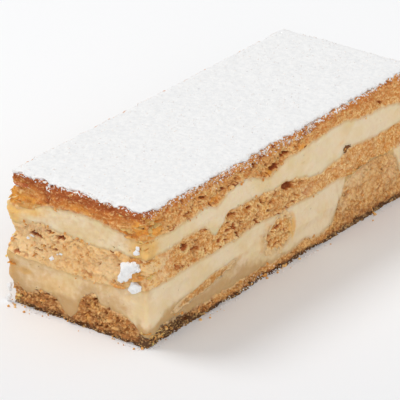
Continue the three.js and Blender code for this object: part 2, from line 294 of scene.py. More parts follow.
SIDE_SHAPE = (
    Dent(-22, -59.5, 27, 1.1, 9, 2.6),  # left of the front: cream and crumb squeezed out by the knife
    Dent(-22, -59.5, 20.5, -0.5, 8, 1.6),
    Dent(-22, -57, 14.5, 1.7, 9, 2.8),
    Dent(-22, -57, 9, 0.9, 8, 3),
    Dent(-22, -59.5, 33.6, -1.6, 6.5, 0.9),  # a lifted flake of crust, with a slit below it
    Dent(-9.7, -59.5, 37.2, -1.3, 1.7, 1.2),  # a nick in the crust's front edge
    Dent(22, -59.5, 36.2, -1.1, 2.6, 1.6),  # the near corner of the crust is chipped
    Dent(22, -59.5, 19.5, 0.7, 3, 2.2),  # curled flakes on the near corner
    Dent(22, -59.5, 9, -0.5, 3, 4),
    Dent(22, -43.8, 22.8, -1.2, 2.6, 0.8),  # clefts in the right side
    Dent(22, -24.2, 24.2, -1.1, 2.4, 0.8),
    Dent(22, -17.2, 23.4, -1.0, 1.6, 0.9),
    Dent(22, 0.6, 22.9, -1.5, 2.2, 1.0),
    Dent(22, 28.3, 24.7, -0.5, 1.7, 0.8),
    Dent(22, -5.2, 30.9, -1.5, 2.6, 1.2),
    Dent(22, -0.4, 33.3, -1.1, 3.6, 0.6),
    Dent(22, -41.5, 31.1, -0.9, 3, 0.6),
    Dent(-22, 8, 21, 0.9, 12, 3),  # the left side and the far end
    Dent(-22, 36, 11, 1.1, 9, 4),
    Dent(-22, -12, 27.5, 0.8, 9, 2.2),
    Dent(-22, -30, 19.5, -1.2, 4, 1.2),
    Dent(-22, 24, 34, -1.1, 6, 0.8),
    Dent(-6, 59.5, 20, -1.1, 5, 1.2),
    Dent(8, 59.5, 27.6, 0.8, 8, 2.2),
    Dent(-12, 59.5, 12, 0.8, 7, 3),
)


def side_shape(x, y, z):
    """How far the side stands out, before its crags."""
    out = 0.0
    for d in SIDE_SHAPE:
        level = np.hypot(x - d.x, y - d.y) / d.wide
        out = out + d.out * np.exp(-(level**2) - ((z - d.z) / d.tall) ** 2)
    return out


def outline():
    """Columns evenly spaced round the slice from the front left corner: x, y and the way out."""
    r = CORNER_ROUND
    straight = (WIDTH - 2 * r, LENGTH - 2 * r)
    arc = math.pi * r / 2
    whole = 2 * sum(straight) + 4 * arc
    along = np.arange(COLUMNS) * whole / COLUMNS
    x, y, out_x, out_y = (np.zeros(COLUMNS) for _ in range(4))
    begin = 0.0
    corners = ((-1, -1), (1, -1), (1, 1), (-1, 1))
    for side, (cx, cy) in enumerate(corners):
        nx, ny = corners[(side + 1) % 4]
        go = np.array([np.sign(nx - cx), np.sign(ny - cy)])
        face = np.array([go[1], -go[0]])
        start = np.array([cx * (HALF_W - r), cy * (HALF_L - r)]) + face * r
        turn_at = np.array([nx * (HALF_W - r), ny * (HALF_L - r)])
        here = (along >= begin) & (along < begin + straight[side % 2])
        x[here], y[here] = start[:, None] + go[:, None] * (along[here] - begin)
        out_x[here], out_y[here] = face
        begin += straight[side % 2]
        here = (along >= begin) & (along < begin + arc)
        turn = (along[here] - begin) / r
        way = face[:, None] * np.cos(turn) + go[:, None] * np.sin(turn)
        x[here], y[here] = turn_at[:, None] + r * way
        out_x[here], out_y[here] = way
        begin += arc
    return x, y, out_x, out_y


OUT = outline()

# ---------------------------------------------------------------- meshes


def place(points):
    """Points of the slice's own frame, in mm, moved to the solids' frame, in metres."""
    return (np.asarray(points, float) + BODY_AT) * MM


def cap_faces(rim, ring, up):
    """Faces from a rim over a coarser ring inside it, and across that ring in strips."""
    faces = []
    step = CAP_STEP
    n = len(ring)
    for k in range(n):
        a, b = ring[k], ring[(k + 1) % n]
        outer = [rim[(k * step + i) % len(rim)] for i in range(step + 1)]
        faces += [(outer[i], outer[i + 1], a) for i in range(step // 2)]
        faces.append((outer[step // 2], b, a))
        faces += [(outer[i], outer[i + 1], b) for i in range(step // 2, step)]
    for k in range(n // 2 - 1):
        faces.append((ring[k], ring[k + 1], ring[n - 2 - k], ring[n - 1 - k]))
    return faces if up else [face[::-1] for face in faces]


def new_piece(name, points, faces, marks, material=None):
    """A smooth-shaded mesh object with a point attribute for each of its marks."""
    mesh = bpy.data.meshes.new(name)
    mesh.from_pydata(place(points), [], faces)
    mesh.shade_smooth()
    for mark, values in marks.items():
        values = np.asarray(values, np.float32)
        kind, slot = ("FLOAT_VECTOR", "vector") if values.ndim > 1 else ("FLOAT", "value")
        attribute = mesh.attributes.new(mark, kind, "POINT")
        attribute.data.foreach_set(slot, values.ravel())
    if material is not None:
        mesh.materials.append(material)
    piece = bpy.data.objects.new(name, mesh)
    bpy.context.scene.collection.objects.link(piece)
    return piece


def coords(mesh):
    """A mesh's points, in metres."""
    points = np.empty(len(mesh.vertices) * 3)
    mesh.vertices.foreach_get("co", points)
    return points.reshape(-1, 3)


def sharpen(piece, *rims):
    """Makes sharp edges of a piece's rims, so that no false shade runs along the joints."""
    edges = np.empty(len(piece.data.edges) * 2, np.int32)
    piece.data.edges.foreach_get("vertices", edges)
    edges = edges.reshape(-1, 2)
    on_rim = np.any([np.isin(edges, rim).all(axis=1) for rim in rims], axis=0)
    sharp = piece.data.attributes.new("sharp_edge", "BOOLEAN", "EDGE")
    sharp.data.foreach_set("value", on_rim)


# A lump is a craggy ball, turned about an axis. cut is how far it reaches along X from its middle.
Lump = namedtuple("Lump", "name at axis turn radii crag seed cut", defaults=(math.inf,))

BROKEN_BLOCK = Lump("broken_block", (21.9, -3.3, 10.7), "X", 0.1, (3.2, 6.7, 4.9), 0.14, 21, 0.35)
SUNK_FLAKE = Lump("sunk_flake", (21.9, -35.5, 8.4), "X", 0.135, (2.4, 14.9, 1.5), 0.12, 5, 0.35)
SUNK = (BROKEN_BLOCK, SUNK_FLAKE)
LARGE_CLUMP = Lump("large_clump", (16.9, -60.5, 20.6), "Y", 0.72, (2.0, 1.3, 4.4), 0.24, 9)
SMALL_CLUMP = Lump("small_clump", (19.2, -60.5, 16.6), "Y", -0.4, (1.9, 1.3, 1.5), 0.2, 14)


def on_lumps(points, lumps, begin, end):
    """1 on the lumps and 0 away from them: it begins and ends at these multiples of their radii."""
    most = np.zeros(points.shape[:-1])
    for lump in lumps:
        turn = np.array(Matrix.Rotation(lump.turn, 3, lump.axis))
        local = (points - np.array(lump.at)) @ turn / np.array(lump.radii)
        away = np.linalg.norm(local, axis=-1) + 0.14 * noise(points, 1.7, 91)
        most = np.maximum(most, ease(away, begin, end))
    return most


def hold_of(points, floor_of, roof_of, above, below):
    """The share of its relief that each point keeps: little where pastry meets cream, and all of it
    where pastry meets pastry."""
    parted = creamy(points, on_base, under_middle)
    free_below = 1.0 if floor_of is under_base else (1 - parted) * (floor_of is under_middle)
    free_above = (1 - parted) * (roof_of is on_base)
    if roof_of is on_top:
        free_above = ease(points[:, 0], -20, -18)  # but the left rim of the crust stays neat
    met = ease(np.minimum(above + free_below, below + free_above), 0.0, 0.8)
    if floor_of is on_base:
        met = np.minimum(met, 1 - near_line(points, on_base, 0.8))
    if roof_of is on_base:
        met = np.minimum(met, 1 - parted * near_line(points, on_base, 0.8, -1))
    return LEAST_RELIEF + (1 - LEAST_RELIEF) * met


def layer_piece(name, floor_of, roof_of, rows, crag, belly, paint, lumps=()):
    """A layer that runs through the slice: a finely drawn cut side, closed above and below. It rises
    a little round a lump and gives way to it."""
    x, y, out_x, out_y = OUT
    t = np.linspace(0, 1, rows + 1)[:, None]
    lift = np.clip(np.sin(math.pi * t), 0, 1) ** 0.8  # 0 at its rims, and 1 halfway up
    guess = floor_of(x, y) * (1 - t) + roof_of(x, y) * t
    depth = SHARED_CRAG + (crag - SHARED_CRAG) * lift
    ledges = noise(at(x, y, guess * LEDGE_LENGTH / LEDGE_HEIGHT), LEDGE_LENGTH, 7)
    thick = roof_of(x, y) - floor_of(x, y)
    stand = side_shape(x, y, guess) + depth * ledges + belly * lift * ease(thick, 0.5, 5)
    stand = stand + LUMP_RIM * on_lumps(at(x, y, guess), lumps, 1.5, 1.0)
    stand = stand - LUMP_ROOM * on_lumps(at(x, y, guess), lumps, 0.95, 0.6)
    px, py = x + out_x * stand, y + out_y * stand
    low, high = floor_of(px, py) + JOINT / 2, roof_of(px, py) - JOINT / 2
    if floor_of is under_base:
        low = 0 * low
    pz = low * (1 - t) + high * t
    side = at(px, py, pz).reshape(-1, 3)

    shrink_x, shrink_y = 1 - CAP_INSET / HALF_W, 1 - CAP_INSET / HALF_L
    ring_x, ring_y = x[::CAP_STEP] * shrink_x, y[::CAP_STEP] * shrink_y
    lower = at(ring_x, ring_y, floor_of(ring_x, ring_y) + JOINT / 2)
    if floor_of is under_base:
        lower[:, 2] = 0
    upper = at(ring_x, ring_y, roof_of(ring_x, ring_y) - JOINT / 2)

    n = len(x)
    index = np.arange((rows + 1) * n).reshape(rows + 1, n)
    nxt = np.roll(index, -1, axis=1)
    quads = np.stack([index[:-1], nxt[:-1], nxt[1:], index[1:]], axis=-1)
    faces = quads.reshape(-1, 4).tolist()
    count = len(side)
    faces += cap_faces(index[0].tolist(), list(range(count, count + len(lower))), False)
    count += len(lower)
    faces += cap_faces(index[-1].tolist(), list(range(count, count + len(upper))), True)

    points = np.concatenate([side, lower, upper])
    out = np.zeros((len(points), 3))
    out[: len(side), 0] = np.broadcast_to(out_x, pz.shape).ravel()
    out[: len(side), 1] = np.broadcast_to(out_y, pz.shape).ravel()
    above = points[:, 2] - floor_of(points[:, 0], points[:, 1])
    below = roof_of(points[:, 0], points[:, 1]) - points[:, 2]
    hold = hold_of(points, floor_of, roof_of, above, below)
    hold[len(side) :] = 0
    marks = {"hold": hold, "way_out": out} | paint(points, above, below)
    piece = new_piece(name, points, faces, marks)
    sharpen(piece, index[0], index[-1])
    return piece


# ---------------------------------------------------------------- painted marks of each layer

# A blot is a soft spot in a painted mark: its middle, its reaches and how strong it is.
Blot = namedtuple("Blot", "x y z wide long tall amount")
SKIN = 3.0  # how deep a blot on a cut face goes in


def on_front(*spots):
    """Blots on the cut front, each given as x, z, reach along X, reach upright and strength."""
    return [Blot(x, -HALF_L, z, wide, SKIN, tall, amount) for x, z, wide, tall, amount in spots]


def on_right(*spots):
    """Blots on the right side, each given as y, z, reach along Y, reach upright and strength."""
    return [Blot(HALF_W, y, z, SKIN, long, tall, amount) for y, z, long, tall, amount in spots]


def blots(points, spots, start=0.0):
    """A painted mark: where it starts from, and the blots on it."""
    value = start + np.zeros(len(points))
    for s in spots:
        away = ((points - (s.x, s.y, s.z)) / (s.wide, s.long, s.tall)) ** 2
        value += s.amount * np.exp(-away.sum(axis=1))
    return value


BASE_CLEFTS = on_front(
    (-10, 5.9, 1.0, 0.5, 1), (-14, 6.0, 1.4, 0.4, 0.9), (-13, 4.4, 1.0, 0.5, 0.8),
    (-8.6, 4.6, 0.9, 0.5, 0.8), (2.6, 10.2, 0.8, 0.5, 1), (5.6, 9.2, 1.0, 0.5, 0.9),
    (3.4, 6.9, 0.9, 0.4, 0.9), (9.5, 6.6, 1.2, 0.4, 0.9), (6.0, 1.9, 2.2, 0.6, 1),
    (13.2, 5.2, 1.0, 0.5, 0.8), (16.0, 6.3, 0.8, 0.4, 0.8), (7.4, 4.6, 0.8, 0.4, 0.8),
) + on_right(
    (-50.5, 2.4, 3.0, 0.6, 0.9), (-46, 1.6, 2.6, 0.6, 0.9), (-42, 1.4, 1.0, 0.6, 1),
    (32, 1.6, 2.0, 0.6, 1), (38, 14, 1.2, 0.5, 0.8), (40, 9.6, 1.4, 0.6, 0.7),
    (46, 11.6, 1.4, 0.7, 0.7), (30, 9.6, 1.2, 0.8, 0.5),
)
MIDDLE_CLEFTS = on_front(
    (-13, 21.8, 2, 0.62, 1.51), (-15.5, 21.2, 1, 0.5, 1.35), (-9, 24, 1.5, 0.44, 1.49),
    (-5.4, 23.3, 1.9, 0.56, 1.62), (-7.4, 19.7, 1.5, 0.62, 1.51), (-1, 23.9, 2, 0.3, 1),
    (11.3, 24.4, 0.9, 0.5, 1.2), (-12.5, 18, 1.2, 0.5, 1.35), (6.5, 19, 0.7, 0.4, 0.7),
    (-13.5, 16.4, 0.9, 0.38, 0.94), (-17.6, 22.6, 0.8, 0.5, 0.94), (14, 21, 0.8, 0.4, 0.8),
    (2.6, 20.6, 0.8, 0.3, 0.6), (-10.4, 19.9, 0.7, 0.62, 1.08), (8.4, 16.6, 1, 0.3, 0.7),
) + on_right(
    (-42.7, 21.9, 2.7, 0.42, 1.2), (-37.3, 22.1, 0.7, 0.5, 1.2), (-42.1, 19.8, 0.8, 0.6, 1.1),
    (-44.3, 17.1, 1.5, 0.45, 1.04), (-34.1, 23.8, 2.0, 0.35, 1.1), (-23.3, 23.4, 2.4, 0.55, 1.28),
    (-25.7, 22.1, 1.0, 0.4, 1.1), (-16.1, 23.1, 1.2, 0.7, 1.36), (-19.5, 19.8, 0.6, 0.5, 1.12),
    (-12.7, 19.8, 0.9, 0.6, 1.2), (-25.9, 17.3, 1.4, 0.5, 1.12), (-20.3, 18.1, 1.2, 0.4, 1.2),
    (-17.5, 17.4, 0.7, 0.4, 1.1), (-4.5, 22.6, 1.5, 0.6, 1.04), (-5.9, 20.8, 0.8, 0.4, 1.1),
    (2.0, 22.2, 1.7, 0.8, 2.2), (5.9, 21.1, 1.2, 0.4, 0.7), (-2.7, 17.6, 1.2, 0.4, 0.9),
    (6.3, 17.4, 1.2, 0.4, 0.7), (-36.5, 19.1, 0.8, 0.4, 0.7), (-30.7, 18.8, 0.8, 0.4, 0.7),
    (-9.5, 18.1, 0.9, 0.4, 0.7), (-39.7, 20.3, 0.7, 0.4, 0.8),
)
TOP_CLEFTS = on_front(
    (-3.0, 31.5, 1.0, 0.35, 1), (-9.4, 31.7, 1.2, 0.3, 0.8), (10.0, 31.5, 0.6, 0.3, 0.8),
    (20.4, 33.4, 1.4, 0.4, 1), (21.4, 31.0, 0.8, 0.5, 0.8),
) + on_right(
    (-35.4, 33.1, 1.3, 0.6, 1.2), (-38.7, 33.7, 0.6, 0.5, 1.04), (-29.5, 32.4, 2.6, 0.45, 1.12),
    (-26.3, 32, 1.6, 0.4, 1.04), (-41.1, 30.5, 2.4, 0.35, 1.2), (-54.1, 30.9, 1.0, 0.7, 1.2),
    (-50.1, 30.1, 0.6, 0.6, 1.1), (-57.5, 33.1, 1.3, 0.8, 1.12), (-48.1, 33.7, 0.8, 0.5, 0.8),
    (-44.6, 34.9, 0.7, 0.5, 0.8), (-19.1, 34.3, 0.7, 0.4, 0.9), (-14.3, 34.9, 0.6, 0.5, 0.9),
    (-9.3, 29.4, 0.8, 0.4, 1.2), (-4.7, 30.3, 2.1, 0.8, 1.8), (-0.5, 32.3, 2.6, 0.5, 1.75),
    (4.3, 32.2, 0.9, 0.4, 1.04), (8.1, 31.6, 1.1, 0.6, 1.04), (-6.9, 33.7, 0.7, 0.4, 1.1),
    (44.5, 31.4, 1.1, 0.6, 1.2), (-23.1, 35.1, 0.8, 0.4, 1), (-32.7, 35.3, 0.8, 0.4, 0.8),
    (27.9, 34.1, 0.9, 0.3, 0.6), (17.9, 33.1, 1.0, 0.3, 0.6),
)
BLOCK_CLEFTS = on_right(
    (-3.3, 12.9, 1.5, 0.6, 1.77), (-7.3, 9.9, 1.0, 0.7, 1.77), (-4.3, 8.3, 1.7, 0.6, 1.87),
    (-0.3, 10.9, 0.9, 0.6, 0.9), (-1.7, 7.1, 0.8, 0.4, 0.6),
)


def base_paint(points, above, below):
    front = near_front(points, 6)
    drawn = 0.5 * near_line(points, on_base, 1.6, -1) * creamy(points, on_base, under_middle)
    crust = ease(above, 2.4, 0.3) * (1 - 0.4 * front) + 0.3 * front
    # the first burnt blot, low on the near half of the right side, is partly browned crust and partly
    # painted shade
    burnt = on_right((-50, 2.6, 12, 3.4, 1.1), (-4, 1.6, 26, 3.0, 0.12), (38, 1.6, 16, 2.4, 0.3))
    burnt += on_front((-14, 3.6, 8, 3, 0.1))
    creamed = on_right(
        (25, 11, 4, 6, 0.3), (32, 15, 7, 3.4, 0.35), (51, 9, 4, 6, 0.3), (38, 10, 18, 11, 0.42)
    )
    sugared = on_front((-22, 3, 2.4, 3, 0.35)) + on_right((-12, 1.6, 16, 2, 0.35))
    buttery = on_right((39, 11, 9, 5, 0.6))
    buttery += on_front((3, 3.2, 1.2, 1.4, 0.8), (5, 8, 5, 2.4, 0.6), (14, 5, 4, 2, 0.5))
    return {
        "porous": blots(points, on_right((38, 8, 14, 7, -0.2)), 0.7),
        "cleft": blots(points, BASE_CLEFTS),
        "toast": np.clip(crust + blots(points, burnt), 0, 1),
        "smear": np.maximum(drawn, blots(points, creamed)),
        "dust": blots(points, sugared) + 0.3 * ease(above, 1.5, 0),
        "gold": blots(points, buttery),
    }


def middle_paint(points, above, below):
    front = near_front(points)
    far = near_right(points[:, 0]) * ease(points[:, 1], 6, 12)
    parted = creamy(points, on_base, under_middle)
    drawn = 0.5 * ease(np.minimum(above + 9 * (1 - parted), below), 1.5, 0.0)
    airy = on_front((0, 20, 26, 8, -0.45), (-11, 20, 6.5, 4, 0.7))
    airy += on_right((-53, 20, 4.5, 6, -0.6), (-20, 21, 13, 6, 0.4), (-2, 21, 6, 4, 0.3))
    creamed = on_right((-53, 20.5, 5, 6, 0.7), (26, 20, 20, 5, 0.42), (9, 18, 4, 3, 0.35))
    creamed += on_front((9.5, 18, 4, 4, 0.25), (-19, 19, 3, 5, 0.2), (-12, 20, 8, 6, 0.2))
    sugared = on_front(
        (-8.3, 16.4, 0.8, 0.9, 0.7), (-5, 18.9, 0.9, 0.6, 0.7), (-16, 20.3, 0.7, 0.6, 0.6)
    )
    buttery = on_right((-58.5, 21, 4, 6, 1.8), (12, 20, 12, 4, 0.2), (-9, 21, 3, 4, 0.6))
    buttery += on_front(
        (21.5, 21, 2.4, 7, 1.5), (-21.5, 21, 2.4, 6, 1.5), (12.5, 15.2, 2.6, 0.8, 1.2)
    )
    return {
        "porous": np.clip(blots(points, airy, 0.75) - 0.45 * far, 0, 1.3),
        "cleft": blots(points, MIDDLE_CLEFTS),
        "toast": blots(points, on_front((-12, 24, 5, 0.8, 0.6), (-14, 20.5, 4, 2.5, 0.25))),
        "smear": np.maximum(drawn, blots(points, creamed, 0.5 * front)),
        "dust": blots(points, sugared),
        "gold": blots(points, buttery, 0.68 * front),
    }


def top_paint(points, above, below):
    front = near_front(points)
    far = near_right(points[:, 0]) * ease(points[:, 1], 10, 15)
    drawn = 0.5 * ease(above, 1.4, 0.0)
    crust = ease(below, 4.6, 0.4) * (0.35 + 0.65 * front) + 0.28 * front
    burnt = on_right((-58.5, 34, 1.6, 1.6, 0.5), (-30.6, 30.2, 2.2, 1.6, 0.3))
    burnt += on_front((-20.5, 33.6, 4.5, 4, -0.5), (20, 34, 4, 3, -0.55), (-9, 32.6, 5, 1.4, 0.3))
    slit = on_front(
        (-20.4, 33.4, 1.6, 0.35, 0.9), (-17.4, 33.9, 1.8, 0.35, 0.9), (-20.4, 31.0, 0.4, 1.2, 0.5)
    )
    buttery = on_front(
        (-15.5, 30.4, 5.5, 1.5, 1.7), (0, 32.6, 8, 1.4, 0.8), (20.5, 31, 3, 5, 1.4),
        (-22, 32, 1.8, 4, 1.4),
    )
    buttery += on_right(
        (-57.5, 32, 4, 5, 1.5), (-30.6, 30.4, 2.4, 1.8, 1.0), (-6, 30, 3, 1.2, 1.4), (7, 32, 2, 1, 1)
    )
    return {
        "porous": np.clip(0.9 - 0.8 * front - 0.5 * far, 0, 1),
        "cleft": blots(points, TOP_CLEFTS),
        "toast": np.clip(crust + blots(points, burnt), 0, 1),
        "smear": np.maximum(drawn, blots(points, on_front((19.6, 30, 2, 2, 0.4)))),
        "dust": np.maximum(blots(points, slit), ease(below, 1.5, 0.0) * 0.5),
        "gold": blots(points, buttery),
    }


def lower_cream_paint(points, above, below):
    front = near_front(points)
    right = near_right(points[:, 0])
    near = right * ease(points[:, 1], -2, -18)
    far = right * ease(points[:, 1], 2, 8)
    thin = ease(above + below, 3.0, 1.4) * right
    # painted shade: the cream darker towards the base, most on the near half of the right side
    low = ease(above, 6.0, 0.5) * (0.9 * near + 0.2 * front)
    low = low + 0.52 * front + 0.55 * right * ease(above, 2.6, 0.2) - 0.3 * far
    met = np.maximum(near_line(points, on_base, 1.4), near_line(points, under_middle, 1.2, -1))
    # crumb stains, and across the near half of the right side a band of painted shade above the base
    crumbed_and_shaded = on_right(
        (-58.5, 7, 4.5, 5, -0.6), (-47, 6.4, 4.6, 2.2, 0.75), (-40, 8.6, 4.5, 1.8, 0.45),
        (-33, 7.4, 9, 2.2, 0.3), (-24, 9.2, 4, 1.8, 0.75), (-19, 7, 4, 2, 0.3),
        (-10, 11.5, 1.8, 4.4, 0.5), (20.6, 7.2, 2.6, 3.4, 0.8), (24.2, 13, 2.0, 3, 0.6),
        (29, 16, 6, 1.6, 0.5), (51.5, 9, 2.4, 5, 0.6),
    )
    crumbed_and_shaded += on_front(
        (-16.5, 10.6, 1.6, 0.7, 0.3), (-20.5, 6, 3, 4, 0.5), (-4.5, 3.6, 3.8, 3.4, 1.0),
        (-21, 14, 2, 5, 0.3), (19, 8, 4, 7, -0.35), (-4, 12, 4, 5, -0.15), (-9, 8.6, 7, 2.4, -0.25),
    )
    buttery = on_front(
        (-17, 10.6, 1.8, 0.7, 1.2), (-8, 9, 6, 3, 0.2), (-22.5, 11, 2.2, 6, 1.6), (21, 9, 3, 7, -0.45)
    )
    buttery += on_right((2.8, 10.4, 1.4, 3.6, 1.5), (-11, 10, 1.6, 4, 0.6), (18, 9, 5, 6, 0.4))
    return {
        "porous": 0.1 + 0 * above,
        "cleft": blots(points, on_right((-52.8, 14.2, 0.5, 0.4, 0.5))),
        "tint": np.maximum(met, 0.8 * on_lumps(points, SUNK, 1.4, 1.0)),
        "stain": np.clip(blots(points, crumbed_and_shaded) + low + 0.45 * thin, -0.3, 1),
        "gold": blots(points, buttery, 0.42 * front + thin),
    }


def upper_cream_paint(points, above, below):
    front = near_front(points)
    pale = 0.3 * ease(points[:, 1], 2, 8)
    clefts = on_right((28.6, 23.5, 1.5, 0.8, 2.6)) + on_front((11.5, 25.3, 0.5, 0.3, 0.6))
    buttery = on_front(
        (-21.5, 26.8, 3.2, 3.4, 1.7), (21, 26.8, 4.4, 4, 0.9), (-14, 28.4, 4, 1.4, 0.7)
    )
    buttery += on_right((-59, 26.5, 5.5, 5, 0.9), (25, 26.5, 3, 1.6, 0.6), (10, 28, 8, 2, 0.2))
    return {
        "porous": 0.1 + 0 * above,
        "cleft": blots(points, clefts),
        "tint": ease(np.minimum(above, below), 1.2, 0.0),
        "stain": blots(points, on_right((-55, 27, 3, 3, 0.3)), 0.28 * front - pale),
        "gold": blots(points, buttery, 0.25 * front),
    }


# ---------------------------------------------------------------- nodes

MATH = "ShaderNodeMath"
VECTOR_MATH = "ShaderNodeVectorMath"
MAP = "ShaderNodeMapRange"
NOISE = "ShaderNodeTexNoise"


def linear(code):
    """Linear red, green, blue and alpha of an sRGB hex colour."""
    parts = [int(code[n : n + 2], 16) / 255 for n in (1, 3, 5)]
    return [c / 12.92 if c <= 0.04045 else ((c + 0.055) / 1.055) ** 2.4 for c in parts] + [1.0]


def add(tree, kind, links=None, **settings):
    """Adds a node with its settings, and links its inputs or gives them values. A hex colour is
    turned to linear."""
    node = tree.nodes.new(kind)
    for name, value in settings.items():
        setattr(node, name, value)
    for key, value in (links or {}).items():
        if isinstance(key, int):
            socket = node.inputs[key]
        else:
            socket = next(s for s in node.inputs if s.enabled and key in (s.name, s.identifier))
        if isinstance(value, bpy.types.Node):
            value = next(s for s in value.outputs if s.enabled)
        if isinstance(value, bpy.types.NodeSocket):
            tree.links.new(value, socket)
        elif isinstance(value, str) and value.startswith("#"):
            socket.default_value = linear(value)
        else:
            socket.default_value = value
    return node


def new_tree(name, sizes, marks):
    """A geometry node tree with a named input for each size and one for the material. Returns it,
    its input node and the painted marks that it reads."""
    tree = bpy.data.node_groups.new(name, "GeometryNodeTree")
    tree.interface.new_socket(name="Geometry", in_out="INPUT", socket_type="NodeSocketGeometry")
    tree.interface.new_socket(name="Geometry", in_out="OUTPUT", socket_type="NodeSocketGeometry")
    for label, value in sizes.items():
        kind = "NodeSocketInt" if isinstance(value, int) else "NodeSocketFloat"
        socket = tree.interface.new_socket(name=label, in_out="INPUT", socket_type=kind)
        socket.default_value = value
    tree.interface.new_socket(name="Material", in_out="INPUT", socket_type="NodeSocketMaterial")
    read = {}
    for mark, kind in marks.items():
        read[mark] = add(tree, "GeometryNodeInputNamedAttribute", {"Name": mark}, data_type=kind)
    return tree, add(tree, "NodeGroupInput"), read


def end_tree(tree, given, geometry):
    """Ends a tree: instances made real, and the material given set on all of it."""
    geometry = add(tree, "GeometryNodeRealizeInstances", {"Geometry": geometry})
    links = {"Geometry": geometry, "Material": given.outputs["Material"]}
    add(tree, "NodeGroupOutput", {0: add(tree, "GeometryNodeSetMaterial", links)})
    return tree


def run_tree(piece, tree, material, sizes=None):
    """Runs a tree on a piece with the sizes given, and keeps the plain mesh that it makes."""
    modifier = piece.modifiers.new(tree.name, "NODES")
    modifier.node_group = tree
    values = {"Material": material} | (sizes or {})
    for socket in tree.interface.items_tree:
        if socket.in_out == "INPUT" and socket.name in values:
            modifier[socket.identifier] = values[socket.name]
    bpy.context.view_layer.update()
    graph = bpy.context.evaluated_depsgraph_get()
    made = bpy.data.meshes.new_from_object(piece.evaluated_get(graph))
    piece.modifiers.remove(modifier)
    old = piece.data
    piece.data = made
    bpy.data.meshes.remove(old)
    made.name = piece.name


